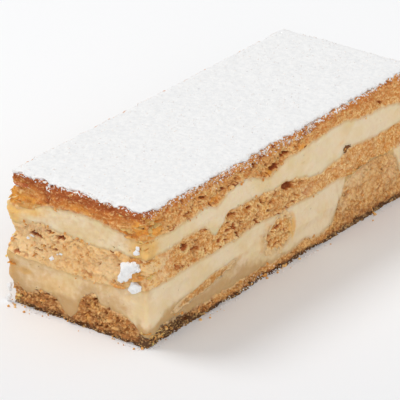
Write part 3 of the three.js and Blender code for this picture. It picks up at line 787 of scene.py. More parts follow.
def relief_tree():
    """Relief of a cut side, in millimetres along its way out: ledges, grain, and pores where the
    pastry's leaves have parted, with raised walls round them. It keeps how deep in a pore each point
    is, how near to a wall, and how far it stands out."""
    sizes = {
        "Large pore": 2.7,
        "Small pore": 0.95,
        "Pore depth": 1.5,
        "Pore wall": 0.2,
        "Ledge": 0.38,
        "Leaf": 0.05,
        "Grain": 0.7,
        "Grain depth": 0.26,
    }
    marks = {"porous": "FLOAT", "cleft": "FLOAT", "hold": "FLOAT", "way_out": "FLOAT_VECTOR"}
    tree, given, mark = new_tree("Cut relief", sizes, marks)
    size = given.outputs
    where = add(tree, "GeometryNodeInputPosition")
    spot = add(tree, VECTOR_MATH, {0: where, "Scale": 1 / MM}, operation="SCALE")
    # the pattern sways, and lies a little flat, as the leaves of the dough do
    sway = add(tree, NOISE, {"Vector": spot, "Scale": 0.5, "Detail": 1.0})
    links = {0: sway.outputs["Color"], 1: (0.5, 0.5, 0.5)}
    sway = add(tree, VECTOR_MATH, links, operation="SUBTRACT")
    sway = add(tree, VECTOR_MATH, {0: sway, 1: (2.6, 2.6, 1.8), 2: spot}, operation="MULTIPLY_ADD")
    flat = add(tree, VECTOR_MATH, {0: sway, 1: (1.0, 1.0, 1.3)}, operation="MULTIPLY")
    # pores crowd together in places
    crowd = add(tree, NOISE, {"Vector": spot, "Scale": 0.16, "Detail": 1.0})
    crowd = add(tree, MAP, {"Value": crowd, "From Min": 0.35, "From Max": 0.6, "To Min": 0.35})
    crowd = add(tree, MATH, {0: crowd, 1: mark["porous"]}, operation="MULTIPLY")
    pore = wall = 0.0
    for label, opens, full, depth in (("Large pore", 0.44, 0.38, 1.0), ("Small pore", 0.43, 0.36, 0.7)):
        pitch = add(tree, MATH, {0: 1.0, 1: size[label]}, operation="DIVIDE")
        cells = add(tree, NOISE, {"Vector": flat, "Scale": pitch, "Detail": 2.0, "Roughness": 0.55})
        links = {"Value": cells, "From Min": opens, "From Max": full, "To Max": depth}
        hollow = add(tree, MAP, links, interpolation_type="SMOOTHSTEP")
        links = {"Value": cells, "From Min": opens + 0.09, "From Max": opens, "To Max": depth}
        lip = add(tree, MAP, links, interpolation_type="SMOOTHSTEP")
        pore = add(tree, MATH, {0: pore, 1: hollow}, operation="MAXIMUM")
        wall = add(tree, MATH, {0: wall, 1: lip}, operation="MAXIMUM")
    pore = add(tree, MATH, {0: pore, 1: crowd}, operation="MULTIPLY")
    wall = add(tree, MATH, {0: wall, 1: crowd}, operation="MULTIPLY")
    # clefts are given in tables, and the small pores tear their rims
    torn = add(tree, MATH, {0: cells, 1: -2.8, 2: 1.3}, operation="MULTIPLY_ADD")
    torn = add(tree, MATH, {0: mark["cleft"], 1: torn}, operation="ADD")
    links = {"Value": torn, "From Min": 0.42, "From Max": 0.72}
    torn = add(tree, MAP, links, interpolation_type="SMOOTHSTEP")
    pore = add(tree, MATH, {0: pore, 1: torn}, operation="MAXIMUM")
    wall = add(tree, MATH, {0: wall, 1: pore}, operation="SUBTRACT", use_clamp=True)
    # ledges, the edges of leaves and grain, each from -2 to 2 times its height
    pitch = add(tree, MATH, {0: 1.0, 1: size["Grain"]}, operation="DIVIDE")
    leaves = add(tree, VECTOR_MATH, {0: sway, 1: (0.3, 0.3, 1.0)}, operation="MULTIPLY")
    height = 0.0
    for links, label in (
        ({"Vector": leaves, "Scale": 0.8, "Detail": 2.0}, "Ledge"),
        ({"Vector": leaves, "Scale": 2.1, "Detail": 1.0}, "Leaf"),
        ({"Vector": sway, "Scale": pitch, "Detail": 3.0, "Roughness": 0.6}, "Grain depth"),
    ):
        part = add(tree, MATH, {0: add(tree, NOISE, links), 1: 4.0, 2: -2.0}, operation="MULTIPLY_ADD")
        height = add(tree, MATH, {0: part, 1: size[label], 2: height}, operation="MULTIPLY_ADD")
    height = add(tree, MATH, {0: wall, 1: size["Pore wall"], 2: height}, operation="MULTIPLY_ADD")
    drop = add(tree, MATH, {0: pore, 1: size["Pore depth"]}, operation="MULTIPLY")
    stand = add(tree, MATH, {0: height, 1: drop}, operation="SUBTRACT")
    move = add(tree, MATH, {0: stand, 1: mark["hold"]}, operation="MULTIPLY")
    move = add(tree, MATH, {0: move, 1: MM}, operation="MULTIPLY")
    move = add(tree, VECTOR_MATH, {0: mark["way_out"], "Scale": move}, operation="SCALE")
    kept = given.outputs["Geometry"]
    # the pastry's colours read these for painted shade in the pores and painted highlights on the
    # ridges
    for name, value in (("pore", pore), ("relief", height), ("wall", wall)):
        links = {"Geometry": kept, "Name": name, "Value": value}
        kept = add(tree, "GeometryNodeStoreNamedAttribute", links, data_type="FLOAT", domain="POINT")
    moved = add(tree, "GeometryNodeSetPosition", {"Geometry": kept, "Offset": move})
    return end_tree(tree, given, moved)


def strew_tree(kinds, tumbled):
    """Strews small pieces over a surface, more densely where its share is higher. Tumbled ones lie
    any way up, and the others lie along the surface, a little lifted."""
    sizes = {"Per square mm": 1.0, "Least": 0.3, "Greatest": 0.6, "Seed": 1}
    tree, given, mark = new_tree("Strewn " + kinds.name, sizes, {"share": "FLOAT"})
    size = given.outputs
    density = add(tree, MATH, {0: mark["share"], 1: size["Per square mm"]}, operation="MULTIPLY")
    density = add(tree, MATH, {0: density, 1: MM**-2}, operation="MULTIPLY")
    links = {"Mesh": size["Geometry"], "Density": density, "Seed": size["Seed"]}
    spots = add(tree, "GeometryNodeDistributePointsOnFaces", links)
    links = {"Collection": kinds, "Separate Children": True, "Reset Children": True}
    source = add(tree, "GeometryNodeCollectionInfo", links)
    reach = (math.tau, math.tau, math.tau) if tumbled else (0.5, 0.5, math.tau)
    least = (0.0, 0.0, 0.0) if tumbled else (-0.5, -0.5, 0.0)
    links = {"Min": least, "Max": reach, "Seed": size["Seed"]}
    turn = add(tree, "FunctionNodeRandomValue", links, data_type="FLOAT_VECTOR")
    if not tumbled:
        links = {0: spots.outputs["Rotation"], 1: turn}
        turn = add(tree, "FunctionNodeRotateRotation", links, rotation_space="LOCAL")
    # most are small: a chance from 0 to 1 is raised to a power
    chance = add(tree, "FunctionNodeRandomValue", {"Seed": size["Seed"]}, data_type="FLOAT")
    chance = add(tree, MATH, {0: chance, 1: 2.2}, operation="POWER")
    links = {"Value": chance, "To Min": size["Least"], "To Max": size["Greatest"]}
    grown = add(tree, MATH, {0: add(tree, MAP, links), 1: MM}, operation="MULTIPLY")
    links = {
        "Points": spots.outputs["Points"],
        "Instance": source,
        "Pick Instance": True,
        "Rotation": turn,
        "Scale": grown,
    }
    return end_tree(tree, given, add(tree, "GeometryNodeInstanceOnPoints", links))


# ---------------------------------------------------------------- materials


def new_material(name, *marks):
    """A bare material, its tree, and the painted marks that it reads."""
    material = bpy.data.materials.new(name)
    material.use_nodes = True
    tree = material.node_tree
    tree.nodes.clear()
    read = {}
    for mark in marks:
        read[mark] = add(tree, "ShaderNodeAttribute", attribute_name=mark).outputs["Fac"]
    return material, tree, read


def grain_noise(tree, millimetres, detail=3.0, stretch=(1.0, 1.0, 1.0)):
    """Noise on Object coordinates whose pattern repeats at a real distance."""
    spot = add(tree, "ShaderNodeTexCoord").outputs["Object"]
    spot = add(tree, VECTOR_MATH, {0: spot, 1: stretch}, operation="MULTIPLY")
    return add(tree, NOISE, {"Vector": spot, "Scale": 1 / (millimetres * MM), "Detail": detail})


def varied(tree, mark, grain, strength):
    """A painted mark made uneven: strength is how much the grain adds or takes."""
    value = add(tree, MATH, {0: grain, 1: 2 * strength, 2: mark}, operation="MULTIPLY_ADD")
    return add(tree, MATH, {0: value, 1: strength}, operation="SUBTRACT")


def laid(tree, under, over, value, low, high, most=1.0):
    """Lays a colour over another: none of it where a value is low, and most where it is high."""
    links = {"Value": value, "From Min": low, "From Max": high, "To Max": most}
    share = add(tree, MAP, links, interpolation_type="SMOOTHSTEP")
    return add(tree, "ShaderNodeMix", {"Factor": share, "A": under, "B": over}, data_type="RGBA")


def finished(material, colour, height, depth, strength, surface):
    """Ends a material with its colour, its grain, whose depth is in mm, and its surface's values."""
    tree = material.node_tree
    bump = add(tree, "ShaderNodeBump", {"Height": height, "Distance": depth * MM, "Strength": strength})
    links = {"Base Color": colour, "Normal": bump} | surface
    shader = add(tree, "ShaderNodeBsdfPrincipled", links)
    add(tree, "ShaderNodeOutputMaterial", {"Surface": shader})
    return material


# A bake's colours: its crumb, the crumb's ridges (partly a painted highlight), where it browns, its
# crust, its buttery spots and the pits of its pores (painted shade).
Bake = namedtuple("Bake", "crumb light brown crust gold pit")
GOLDEN = Bake("#da964a", "#fcd494", "#c67c38", "#9c5c2c", "#f7bb64", "#b05c26")
BROWNED = Bake("#d8924a", "#f8cc8a", "#ce7c34", "#ac5822", "#f0a440", "#a85220")
DARK = Bake("#cc8a45", "#f0c07c", "#a86a34", "#5e3c1e", "#e2a048", "#90501f")
# the darkest cores of pores: painted shade
DEEP_PORE_SHADE = "#5a240a"
CREAM = "#f0dab6"
CREAM_WARM = "#ead0a0"
CREAM_SHADE = "#e8caa0"
CREAM_DRAWN = "#f4d3a2"  # smeared thin over pastry
CREAM_GOLD = "#f2be68"
CREAM_EDGE = "#e2ab68"  # where it soaks into pastry
# crumb stains, and painted shade low on the lower bed's side
CREAM_STAIN_AND_SHADE = "#c59a62"
# dark brown in the cream's pores and holes: painted shade
CREAM_PIT_SHADE = "#7c4000"
SUGAR = "#f3f2f0"
SUGAR_SHADE = "#e9e9e9"
SUGAR_THIN = "#f7ebe3"  # single grains, tinted warm: painted light, the pastry's colour shining through them
LEAF_PALE = "#efc27c"
LEAF_CARAMEL = "#d58f3f"
LEAF_BURNT = "#a8561c"
LEAF_GLINT = "#f3cf94"


def baked_pastry(name, bake):
    """Laminated wheat dough, baked and cut. Its crumb is matt and lets a little light in, its crust
    is darker and carries a slight butter gloss, and its pores look dark as light is lost in them."""
    marks = ("relief", "wall", "porous", "gold", "toast", "smear", "pore", "dust")
    material, tree, mark = new_material(name, *marks)
    fine = grain_noise(tree, 0.62)
    mid = grain_noise(tree, 1.2)
    broad = grain_noise(tree, 6.0, 2.0)
    leaves = grain_noise(tree, 2.2, 3.0, (1.0, 1.0, 2.4))
    # the crumb, lighter where its grains and ridges stand out: random grain, with painted highlight on
    # the raised relief and the walls round pores
    level = -1.2
    for part, share in ((fine, 2.4), (mid, 1.0), (mark["relief"], 0.5), (mark["wall"], 0.4)):
        level = add(tree, MATH, {0: part, 1: share, 2: level}, operation="MULTIPLY_ADD")
    colour = laid(tree, bake.crumb, bake.light, level, 0.25, 1.05)
    patches = add(tree, MATH, {0: broad, 1: leaves}, operation="ADD")
    colour = laid(tree, colour, bake.brown, patches, 0.95, 1.3, 0.5)
    colour = laid(tree, colour, bake.gold, varied(tree, mark["gold"], mid, 0.35), 0.25, 0.95, 0.8)
    # dark specks where the crumb lies low: partly random grain, partly painted shade in its hollows
    specks = add(tree, MATH, {0: mark["porous"], 1: 0.4}, operation="MULTIPLY")
    colour = laid(tree, colour, bake.pit, level, 0.22, 0.02, specks)
    # the crust, in streaks along its leaves, with pale flecks, partly painted highlight where its grain
    # and ridges stand out
    toast = varied(tree, mark["toast"], leaves, 0.65)
    colour = laid(tree, colour, bake.brown, toast, 0.05, 0.5)
    colour = laid(tree, colour, bake.crust, toast, 0.42, 0.95)
    links = {"Value": toast, "From Min": 0.1, "From Max": 0.5, "To Max": 0.5}
    flecks = add(tree, MAP, links, interpolation_type="SMOOTHSTEP")
    colour = laid(tree, colour, bake.light, level, 0.55, 1.0, flecks)
    # cream that the knife has drawn over it, its hollows, painted dark as painted shade, and sugar that
    # has settled on it
    colour = laid(tree, colour, CREAM_DRAWN, varied(tree, mark["smear"], mid, 0.35), 0.2, 0.8, 0.8)
    hollow = laid(tree, bake.pit, bake.crumb, fine, 0.5, 0.72, 0.7)
    colour = laid(tree, colour, hollow, mark["pore"], 0.2, 0.7, 0.95)
    colour = laid(tree, colour, DEEP_PORE_SHADE, mark["pore"], 0.7, 1.0, 0.5)
    colour = laid(tree, colour, SUGAR, varied(tree, mark["dust"], fine, 0.85), 0.5, 0.62)
    grain = add(tree, MATH, {0: mid, 1: 2.0, 2: fine}, operation="MULTIPLY_ADD")
    surface = {
        "Roughness": 0.7,
        "Specular IOR Level": 0.35,
        "Subsurface Weight": 0.2,
        "Subsurface Radius": (1.0, 0.55, 0.25),
        "Subsurface Scale": 1.0 * MM,
    }
    return finished(material, colour, grain, 0.16, 0.8, surface)


def set_cream(name):
    """Egg custard set with starch and cut cold. Fat and egg make it a warm ivory, and it lets light
    in a few millimetres deep, so that shadows on it are soft and its surface has a damp sheen."""
    material, tree, mark = new_material(name, "gold", "tint", "stain", "pore")
    fine = grain_noise(tree, 0.5)
    mid = grain_noise(tree, 1.8)
    broad = grain_noise(tree, 8.0, 2.0)
    drag = grain_noise(tree, 0.9, 3.0, (1.0, 1.0, 0.25))
    colour = laid(tree, CREAM, CREAM_WARM, broad, 0.38, 0.66)
    colour = laid(tree, colour, CREAM_SHADE, mid, 0.4, 0.7, 0.3)
    colour = laid(tree, colour, CREAM_GOLD, varied(tree, mark["gold"], mid, 0.3), 0.15, 1.1, 0.85)
    colour = laid(tree, colour, CREAM_EDGE, varied(tree, mark["tint"], mid, 0.4), 0.1, 1.1, 0.55)
    # stains of crumb, and painted shade where the lower bed's paint lays it
    colour = laid(tree, colour, CREAM_STAIN_AND_SHADE, varied(tree, mark["stain"], mid, 0.36), 0.1, 1.05, 0.85)
    # pores and holes in the cream painted dark brown: painted shade
    colour = laid(tree, colour, CREAM_PIT_SHADE, mark["pore"], 0.1, 0.6, 0.95)
    grain = add(tree, MATH, {0: drag, 1: 1.5, 2: fine}, operation="MULTIPLY_ADD")
    surface = {
        "Roughness": 0.5,
        "Specular IOR Level": 0.4,
        "Subsurface Weight": 0.7,
        "Subsurface Radius": (1.0, 0.7, 0.35),
        "Subsurface Scale": 1.6 * MM,
    }
    return finished(material, colour, grain, 0.1, 0.6, surface)


def sifted_sugar(name, white):
    """Icing sugar sifted on dry: fine white grains that scatter all light, with no gloss at all, and
    a soft grain in the shade between its small lumps."""
    material, tree, _ = new_material(name)
    fine = grain_noise(tree, 0.4, 2.0)
    mid = grain_noise(tree, 1.2)
    shade = add(tree, MATH, {0: fine, 1: 0.6, 2: mid}, operation="MULTIPLY_ADD")
    colour = laid(tree, SUGAR_SHADE, white, shade, 0.5, 1.05)
    grain = add(tree, MATH, {0: mid, 1: 1.5, 2: fine}, operation="MULTIPLY_ADD")
    surface = {
        "Roughness": 1.0,
        "Specular IOR Level": 0.1,
        "Subsurface Weight": 0.3,
        "Subsurface Radius": (1.0, 1.0, 1.0),
        "Subsurface Scale": 0.4 * MM,
    }
    return finished(material, colour, grain, 0.14, 0.7, surface)


def caramel_flake(name):
    """Thin leaves of dough baked to caramel: light comes through them orange, and butter gives them
    a low gloss."""
    material, tree, mark = new_material(name, "shade")
    fine = grain_noise(tree, 0.5)
    mid = grain_noise(tree, 2.2, 2.0)
    shade = add(tree, MATH, {0: mid, 1: 0.8, 2: mark["shade"]}, operation="MULTIPLY_ADD")
    colour = laid(tree, LEAF_PALE, LEAF_CARAMEL, shade, 0.35, 0.95)
    colour = laid(tree, colour, LEAF_BURNT, shade, 0.95, 1.4)
    colour = laid(tree, colour, LEAF_GLINT, fine, 0.5, 0.75, 0.6)
    surface = {
        "Roughness": 0.5,
        "Specular IOR Level": 0.45,
        "Subsurface Weight": 0.5,
        "Subsurface Radius": (1.0, 0.5, 0.2),
        "Subsurface Scale": 1.2 * MM,
    }
    return finished(material, colour, fine, 0.12, 0.7, surface)


# ---------------------------------------------------------------- the icing sugar

SUGAR_CELL = 0.36  # size of its facets
SUGAR_DIP = 0.18  # how far its even top stays below its highest grains
SUGAR_HEM = 0.15  # how far its hem hangs below the top of the crust
SUGAR_SKIRT = 0.1  # how far the hem draws in
SUGAR_EDGE = 0.8  # how far in from the edge its raggedness reaches


def sugar_inset(x, y):
    """How far the sugar's edge stays inside the crust's edge: below 0, it spills over."""
    spot = at(x, y)
    return 0.3 + 0.35 * noise(spot, 4.5, 50) + 0.4 * noise(spot, 1.6, 51) + 0.45 * noise(spot, 0.8, 52)


def sugar_coat(material):
    """A thick soft sheet of sugar. Its edge is ragged, thin, and spills over the crust in places."""
    nx = 4 * round(WIDTH / SUGAR_CELL / 4)
    ny = 4 * round(LENGTH / SUGAR_CELL / 4)
    u, v = np.meshgrid(np.linspace(-1, 1, nx + 1), np.linspace(-1, 1, ny + 1), indexing="ij")
    x, y = u * HALF_W, v * HALF_L
    # round the corners of the sheet as the slice's are
    cx, cy = HALF_W - CORNER_ROUND, HALF_L - CORNER_ROUND
    over_x, over_y = np.maximum(np.abs(x) - cx, 0), np.maximum(np.abs(y) - cy, 0)
    reach = np.maximum(np.hypot(over_x, over_y), 1e-9)
    pull = np.where((over_x > 0) & (over_y > 0), np.maximum(over_x, over_y) / reach, 1)
    x = np.sign(x) * (np.minimum(np.abs(x), cx) + over_x * pull)
    y = np.sign(y) * (np.minimum(np.abs(y), cy) + over_y * pull)
    edge = np.minimum(HALF_W - np.abs(x), HALF_L - np.abs(y))
    near = np.exp(-edge / SUGAR_EDGE)
    side_x = ease(np.abs(x), HALF_W - 1.5, HALF_W) * np.sign(x)
    side_y = ease(np.abs(y), HALF_L - 1.5, HALF_L) * np.sign(y)
    inset = sugar_inset(x, y) - np.minimum(0, side_shape(x, y, CRUST_TOP))
    inset = np.clip(inset, -0.35, 2.5)
    x, y = x - side_x * inset * near, y - side_y * inset * near
    crown = SUGAR_TOP - CRUST_TOP - SUGAR_DIP
    thick = crown * (0.45 + 0.55 * (1 - np.exp(-edge / 1.0)))
    spill = near * np.maximum(-inset, 0) * 2.2
    spot = at(x, y)
    grain = 0.09 * noise(spot, 0.8, 61) + 0.1 * noise(spot, 2.1, 62) + 0.1 * noise(spot, 8.0, 63)
    z = CRUST_TOP + thick + grain - spill - nick(x, y)
    top = at(x, y, z).reshape(-1, 3)
    index = np.arange(len(top)).reshape(nx + 1, ny + 1)
    quads = np.stack([index[:-1, :-1], index[1:, :-1], index[1:, 1:], index[:-1, 1:]], axis=-1)
    faces = quads.reshape(-1, 4).tolist()
    # a skirt round it, down to its hem, and a lid below
    loop = np.concatenate([index[:-1, 0], index[-1, :-1], index[:0:-1, -1], index[0, :0:-1]])
    hem = top[loop] * (1 - SUGAR_SKIRT / HALF_W, 1 - SUGAR_SKIRT / HALF_L, 1)
    ring = top[loop][::CAP_STEP] * (1 - CAP_INSET / HALF_W, 1 - CAP_INSET / HALF_L, 0)
    hem[:, 2] = ring[:, 2] = CRUST_TOP - SUGAR_HEM
    hem_index = len(top) + np.arange(len(loop))
    ring_index = hem_index[-1] + 1 + np.arange(len(ring))
    skirt = np.stack([hem_index, np.roll(hem_index, -1), np.roll(loop, -1), loop], axis=-1)
    faces += skirt.tolist()
    faces += cap_faces(hem_index.tolist(), ring_index.tolist(), False)
    coat = new_piece("sugar_coat", np.concatenate([top, hem, ring]), faces, {}, material)
    sharpen(coat, loop)
    return coat


# ---------------------------------------------------------------- lumps, crumbs and flakes


def ball(splits):
    """Points and faces of a ball of radius 1."""
    mesh = bmesh.new()
    bmesh.ops.create_icosphere(mesh, subdivisions=splits, radius=1.0)
    points = np.array([v.co[:] for v in mesh.verts])
    faces = [[v.index for v in f.verts] for f in mesh.faces]
    mesh.free()
    return points, faces


def lump_piece(lump, splits, knobs, porous=0.0, smeared=0.0):
    """A craggy ball: the solid's own form, with knobs of the given height and distance on it."""
    points, faces = ball(splits)
    swollen = 1 + lump.crag * noise(3 * points, 1.7, lump.seed)
    for height, size in knobs:
        swollen += height * noise(points * lump.radii, size, lump.seed + 3) / min(lump.radii)
    points = points * np.array(lump.radii) * swollen[:, None]
    hold = ease(points[:, 0], lump.cut - 0.6, lump.cut - 0.1) if lump.cut < math.inf else 0 * swollen
    points[:, 0] = np.minimum(points[:, 0], lump.cut)
    rim = ease(np.hypot(points[:, 1] / lump.radii[1], points[:, 2] / lump.radii[2]), 0.6, 1.0)
    points = points @ np.array(Matrix.Rotation(lump.turn, 3, lump.axis)).T + np.array(lump.at)
    marks = {
        "hold": hold,
        "way_out": np.tile((1.0, 0.0, 0.0), (len(points), 1)),
        "porous": porous + 0 * hold,
        "smear": smeared + 0.75 * rim,
        "cleft": blots(points, BLOCK_CLEFTS),
        "toast": 0.08 + 0 * hold,
        "gold": blots(points, on_right((2.6, 10.4, 1.6, 4, 1.4))),
    }
    return new_piece(lump.name, points, faces, marks)


def leaf(length, width, thick, curl, seed, splits=3):
    """A thin flake of baked dough: a ball pressed flat, torn round its rim, rippled and curled."""
    points, faces = ball(splits)
    way = points[:, :2] / np.maximum(np.linalg.norm(points[:, :2], axis=1), 1e-6)[:, None]
    torn = 1 + 0.3 * noise(at(1.6 * way[:, 0], 1.6 * way[:, 1], 0.7 * seed), 1.0, seed)
    torn += 0.18 * noise(at(4.5 * way[:, 0], 4.5 * way[:, 1], 0.7 * seed), 1.0, seed + 1)
    x = points[:, 0] * torn * length / 2
    y = points[:, 1] * torn * width / 2
    z = np.sign(points[:, 2]) * np.sqrt(np.abs(points[:, 2])) * thick / 2
    z = z + 0.16 * width * noise(at(x, y), 0.55 * width, seed + 2)
    if curl:
        radius = length / 2 / curl
        x, z = (radius + z) * np.sin(x / radius), (radius + z) * np.cos(x / radius) - radius
    return at(x, y, z), faces


def facing(outward, along):
    """The turn that lays a leaf's face outward and its length along a direction."""
    up = Vector(outward).normalized()
    side = up.cross(Vector(along)).normalized()
    return np.array(Matrix((side.cross(up), side, up)).transposed())


def joined(parts):
    """One set of points and faces from several."""
    points, faces, count = [], [], 0
    for some_points, some_faces in parts:
        points.append(some_points)
        faces += [[v + count for v in face] for face in some_faces]
        count += len(some_points)
    return np.concatenate(points), faces


# Flakes listed one by one: where, the way their face looks, the way they lie, length, width, curl, how
# dark.
FLAKES = (
    ((20.0, -60.4, 20.1), (0.25, -1, 0.3), (0.9, 0.1, 0.36), 7.4, 2.4, 0.5, 0.45),  # by the clumps
    ((18.9, -60.1, 23.9), (0, -1, 0.4), (1, 0.1, 0.15), 4.2, 1.3, 0.4, 0.65),
    ((13.0, -59.9, 15.0), (0, -1, 0.3), (1, 0, 0.06), 4.4, 0.8, 0.3, 0.5),
    ((-15.6, -59.9, 29.4), (0, -1, 0.2), (1, 0, 0.16), 9.4, 1.5, 0.2, 0.45),  # the crust's lower lip
    ((-18.2, -59.7, 34.7), (0, -0.8, 0.8), (1, 0, -0.05), 5.0, 1.1, 0.2, 0.95),  # lifted off it
)
FLAKE_THICK = 0.3
# Where leaves of dough fray out of the cut: along which upright edge, how far from it on the front
# and on the side, from and to which height, and how many.
FRAYED = (
    (1, 7, 6, 29.5, 36.6, 34),
    (1, 2.5, 3, 16.0, 29.5, 24),
    (-1, 3.5, 5, 29.5, 36.4, 10),
    (-1, 1.5, 5, 7.0, 29.5, 14),
    (-1, 2.5, 6, 0.6, 6.0, 8),
    (1, 3.0, 9, 0.6, 4.0, 16),
)
FRAY_THICK = 0.22
ROOTED = 0.35  # how deep the middle of a frayed leaf lies behind the face


def corner_flakes(material):
    """The listed flakes, and those that fray out of the corners."""
    parts, shades = [], []
    for n, (where, outward, along, length, width, curl, shade) in enumerate(FLAKES):
        points, faces = leaf(length, width, FLAKE_THICK, curl, n, 4)
        parts.append((points @ facing(outward, along).T + np.array(where), faces))
        shades.append(np.full(len(points), shade))
    chance = np.random.default_rng(17)
    for side, front_reach, side_reach, low, high, count in FRAYED:
        for n in range(count):
            z = chance.uniform(low, high)
            run = chance.uniform(-front_reach, side_reach)
            x = side * (HALF_W - ROOTED + min(run, 0))
            y = -HALF_L + ROOTED + max(run, 0)
            wall = Vector((side * (1 if run > -0.5 else 0), -1 if run < 0.5 else 0, 0)).normalized()
            stand = float(side_shape(x, y, z)) + chance.uniform(-0.25, 0.25)
            lie = wall.cross(Vector((0, 0, 1))) + 0.35 * Vector(chance.uniform(-1, 1, 3))
            look = Vector((0, 0, 1)) + wall * chance.uniform(0.1, 1.1)
            look = look + 0.3 * Vector(chance.uniform(-1, 1, 3))
            length, width, curl = (chance.uniform(*span) for span in ((1.4, 3.6), (0.9, 1.9), (0, 0.5)))
            points, faces = leaf(length, width, FRAY_THICK, curl, 50 + n)
            spot = np.array((x, y, z)) + np.array(wall) * stand
            parts.append((points @ facing(look, lie).T + spot, faces))
            shades.append(np.full(len(points), chance.uniform(0, 0.65)))
    points, faces = joined(parts)
    return new_piece("corner_flakes", points, faces, {"shade": np.concatenate(shades)}, material)


# Small clumps of sugar that stick to the front face, and lie by the left corner: where and radius.
SUGAR_BITS = (
    ((18.7, -60.7, 22.4), 1.0),
    ((20.0, -60.5, 22.0), 0.8),
    ((19.5, -60.1, 26.4), 0.8),
    ((19.8, -60.1, 27.7), 0.55),
    ((-8.3, -60.0, 16.7), 0.6),
    ((-5.2, -59.9, 18.9), 0.45),
    ((-16.0, -60.0, 20.3), 0.4),
    ((-6.4, -59.9, 18.4), 0.3),
    ((-22.9, -59.6, 4.6), 0.8),
    ((-23.2, -59.2, 3.2), 0.7),
    ((-22.6, -60.2, 1.9), 0.8),
    ((-23.4, -59.9, 0.8), 0.7),
)


def sugar_bits(material):
    """The small clumps of sugar, each a craggy ball pressed a little flat."""
    parts = []
    for n, (where, radius) in enumerate(SUGAR_BITS):
        points, faces = ball(4)
        swollen = 1 + 0.3 * noise(points, 0.8, 80 + n) + 0.22 * noise(points, 0.35, 90 + n)
        parts.append((points * swollen[:, None] * radius * (1, 0.8, 0.9) + np.array(where), faces))
    return new_piece("sugar_bits", *joined(parts), {}, material)


# ---------------------------------------------------------------- what is strewn

LYING = 0.02  # clear height above the floor of what lies on it
FLOOR_BAND = 0.15  # height of the band that bits are strewn on before they are set down
TUCKED = 0.3  # how far that band reaches in under the slice
LEAST_SHARE = 0.01  # where the share is less, nothing is strewn


def kinds_of(name, shapes):
    """A collection of small meshes, 1 across, to strew. They are taken away once they are used."""
    kinds = bpy.data.collections.new(name)
    for n, (points, faces) in enumerate(shapes):
        mesh = bpy.data.meshes.new(f"{name}_{n}")
        mesh.from_pydata(points, [], faces)
        kinds.objects.link(bpy.data.objects.new(f"{name}_{n}", mesh))
    return kinds


def crumb_shape(splits, crag, seed):
    """A crumb or a grain: a craggy ball, 1 long and rather less wide and high."""
    points, faces = ball(splits)
    return points * 0.5 * (1 + crag * noise(points, 0.9, seed))[:, None] * (1, 0.85, 0.7), faces


def faces_of(piece, share_of):
    """Points of a finished piece, its faces where something may lie, and the share at each point."""
    points = coords(piece.data) / MM - BODY_AT
    share = share_of(points)
    lies = share > LEAST_SHARE
    faces = [p.vertices[:] for p in piece.data.polygons if lies[list(p.vertices)].all()]
    return points, faces, share


def floor_band(reach, share_of):
    """A band of the floor round the slice."""
    x, y, out_x, out_y = (side[::4] for side in OUT)
    inner = at(x - TUCKED * out_x, y - TUCKED * out_y, FLOOR_BAND)
    outer = at(x + reach * out_x, y + reach * out_y, FLOOR_BAND)
    n = len(x)
    points = np.concatenate([inner, outer])
    faces = [(k, k + n, (k + 1) % n + n, (k + 1) % n) for k in range(n)]
    return points, faces, share_of(points)


def strew(name, kinds, hosts, material, tumbled, sizes):
    """Strews kinds over hosts, sets them down on the floor and keeps them as one piece."""
    points, faces = joined([host[:2] for host in hosts])
    share = np.concatenate([host[2] for host in hosts])
    piece = new_piece(name, points, faces, {"share": share})
    run_tree(piece, strew_tree(kinds, tumbled), material, sizes)
    set_down = coords(piece.data)
    set_down[:, 2] = np.maximum(set_down[:, 2], LYING * MM)
    piece.data.vertices.foreach_set("co", set_down.ravel())
    for shape in list(kinds.objects):
        bpy.data.objects.remove(shape)
    bpy.data.collections.remove(kinds)
    return piece


def patchy(points, size, seed, low=0.0, high=0.5):
    """1 in patches about a size across, and 0 between them."""
    return ease(noise(points, size, seed), low, high)


def sugar_by_rim(points):
    """On the sugar: some all over, and most along its rim."""
    edge = np.minimum(HALF_W - np.abs(points[:, 0]), HALF_L - np.abs(points[:, 1]))
    return np.where(points[:, 2] > CRUST_TOP, 0.04 + 0.9 * ease(edge, 1.2, 0.0), 0)


def sugar_under_rim(points):
    """On the crust's cut edge: fallen furthest down the nearer half of the sides."""
    front = near_front(points, 3)
    along = ease(points[:, 1], 14, 8)
    lowest = CRUST_TOP - 1.4 - 2.2 * along + 2.2 * front * along
    fallen = at_side(points) * ease(points[:, 2], lowest, CRUST_TOP - 0.1)
    return fallen * (0.25 + 0.9 * patchy(points, 2.2, 71, -0.2, 0.4)) * (1 - 0.65 * front)


def sugar_on_floor(points):
    """In patches on the floor round the slice."""
    return 0.25 * patchy(points, 5.0, 73, 0.1, 0.6)


def crumbs_on_cream(points):
    """Drawn out of the pastry by the knife, on the cream beside it."""
    lines = (on_base, under_middle, on_middle, under_top)
    away = np.min([np.abs(points[:, 2] - line(points[:, 0], points[:, 1])) for line in lines], axis=0)
    return at_side(points) * (0.5 * ease(away, 1.0, 0.1) + 0.004) * patchy(points, 4.0, 75)


def crumbs_by_base(points):
    """On the floor close to the slice, and most at its front."""
    out = np.maximum(np.abs(points[:, 0]) - HALF_W, np.abs(points[:, 1]) - HALF_L)
    front = 0.5 + 0.5 * ease(points[:, 1], -HALF_L + 20, -HALF_L)
    return ease(out, 2.0, 0.0) * front * (0.08 + 0.5 * patchy(points, 4.0, 77, 0.1, 0.6))


def leaves_on_cut(points):
    """All over the cut pastry, but few on the front of the crust and none at its top."""
    crust = ease(points[:, 2], 31, 33) * near_front(points)
    patches = 0.3 + 0.7 * patchy(points, 5.0, 79)
    return at_side(points) * (1 - 0.85 * crust) * ease(points[:, 2], 35, 34) * patches


# ---------------------------------------------------------------- build


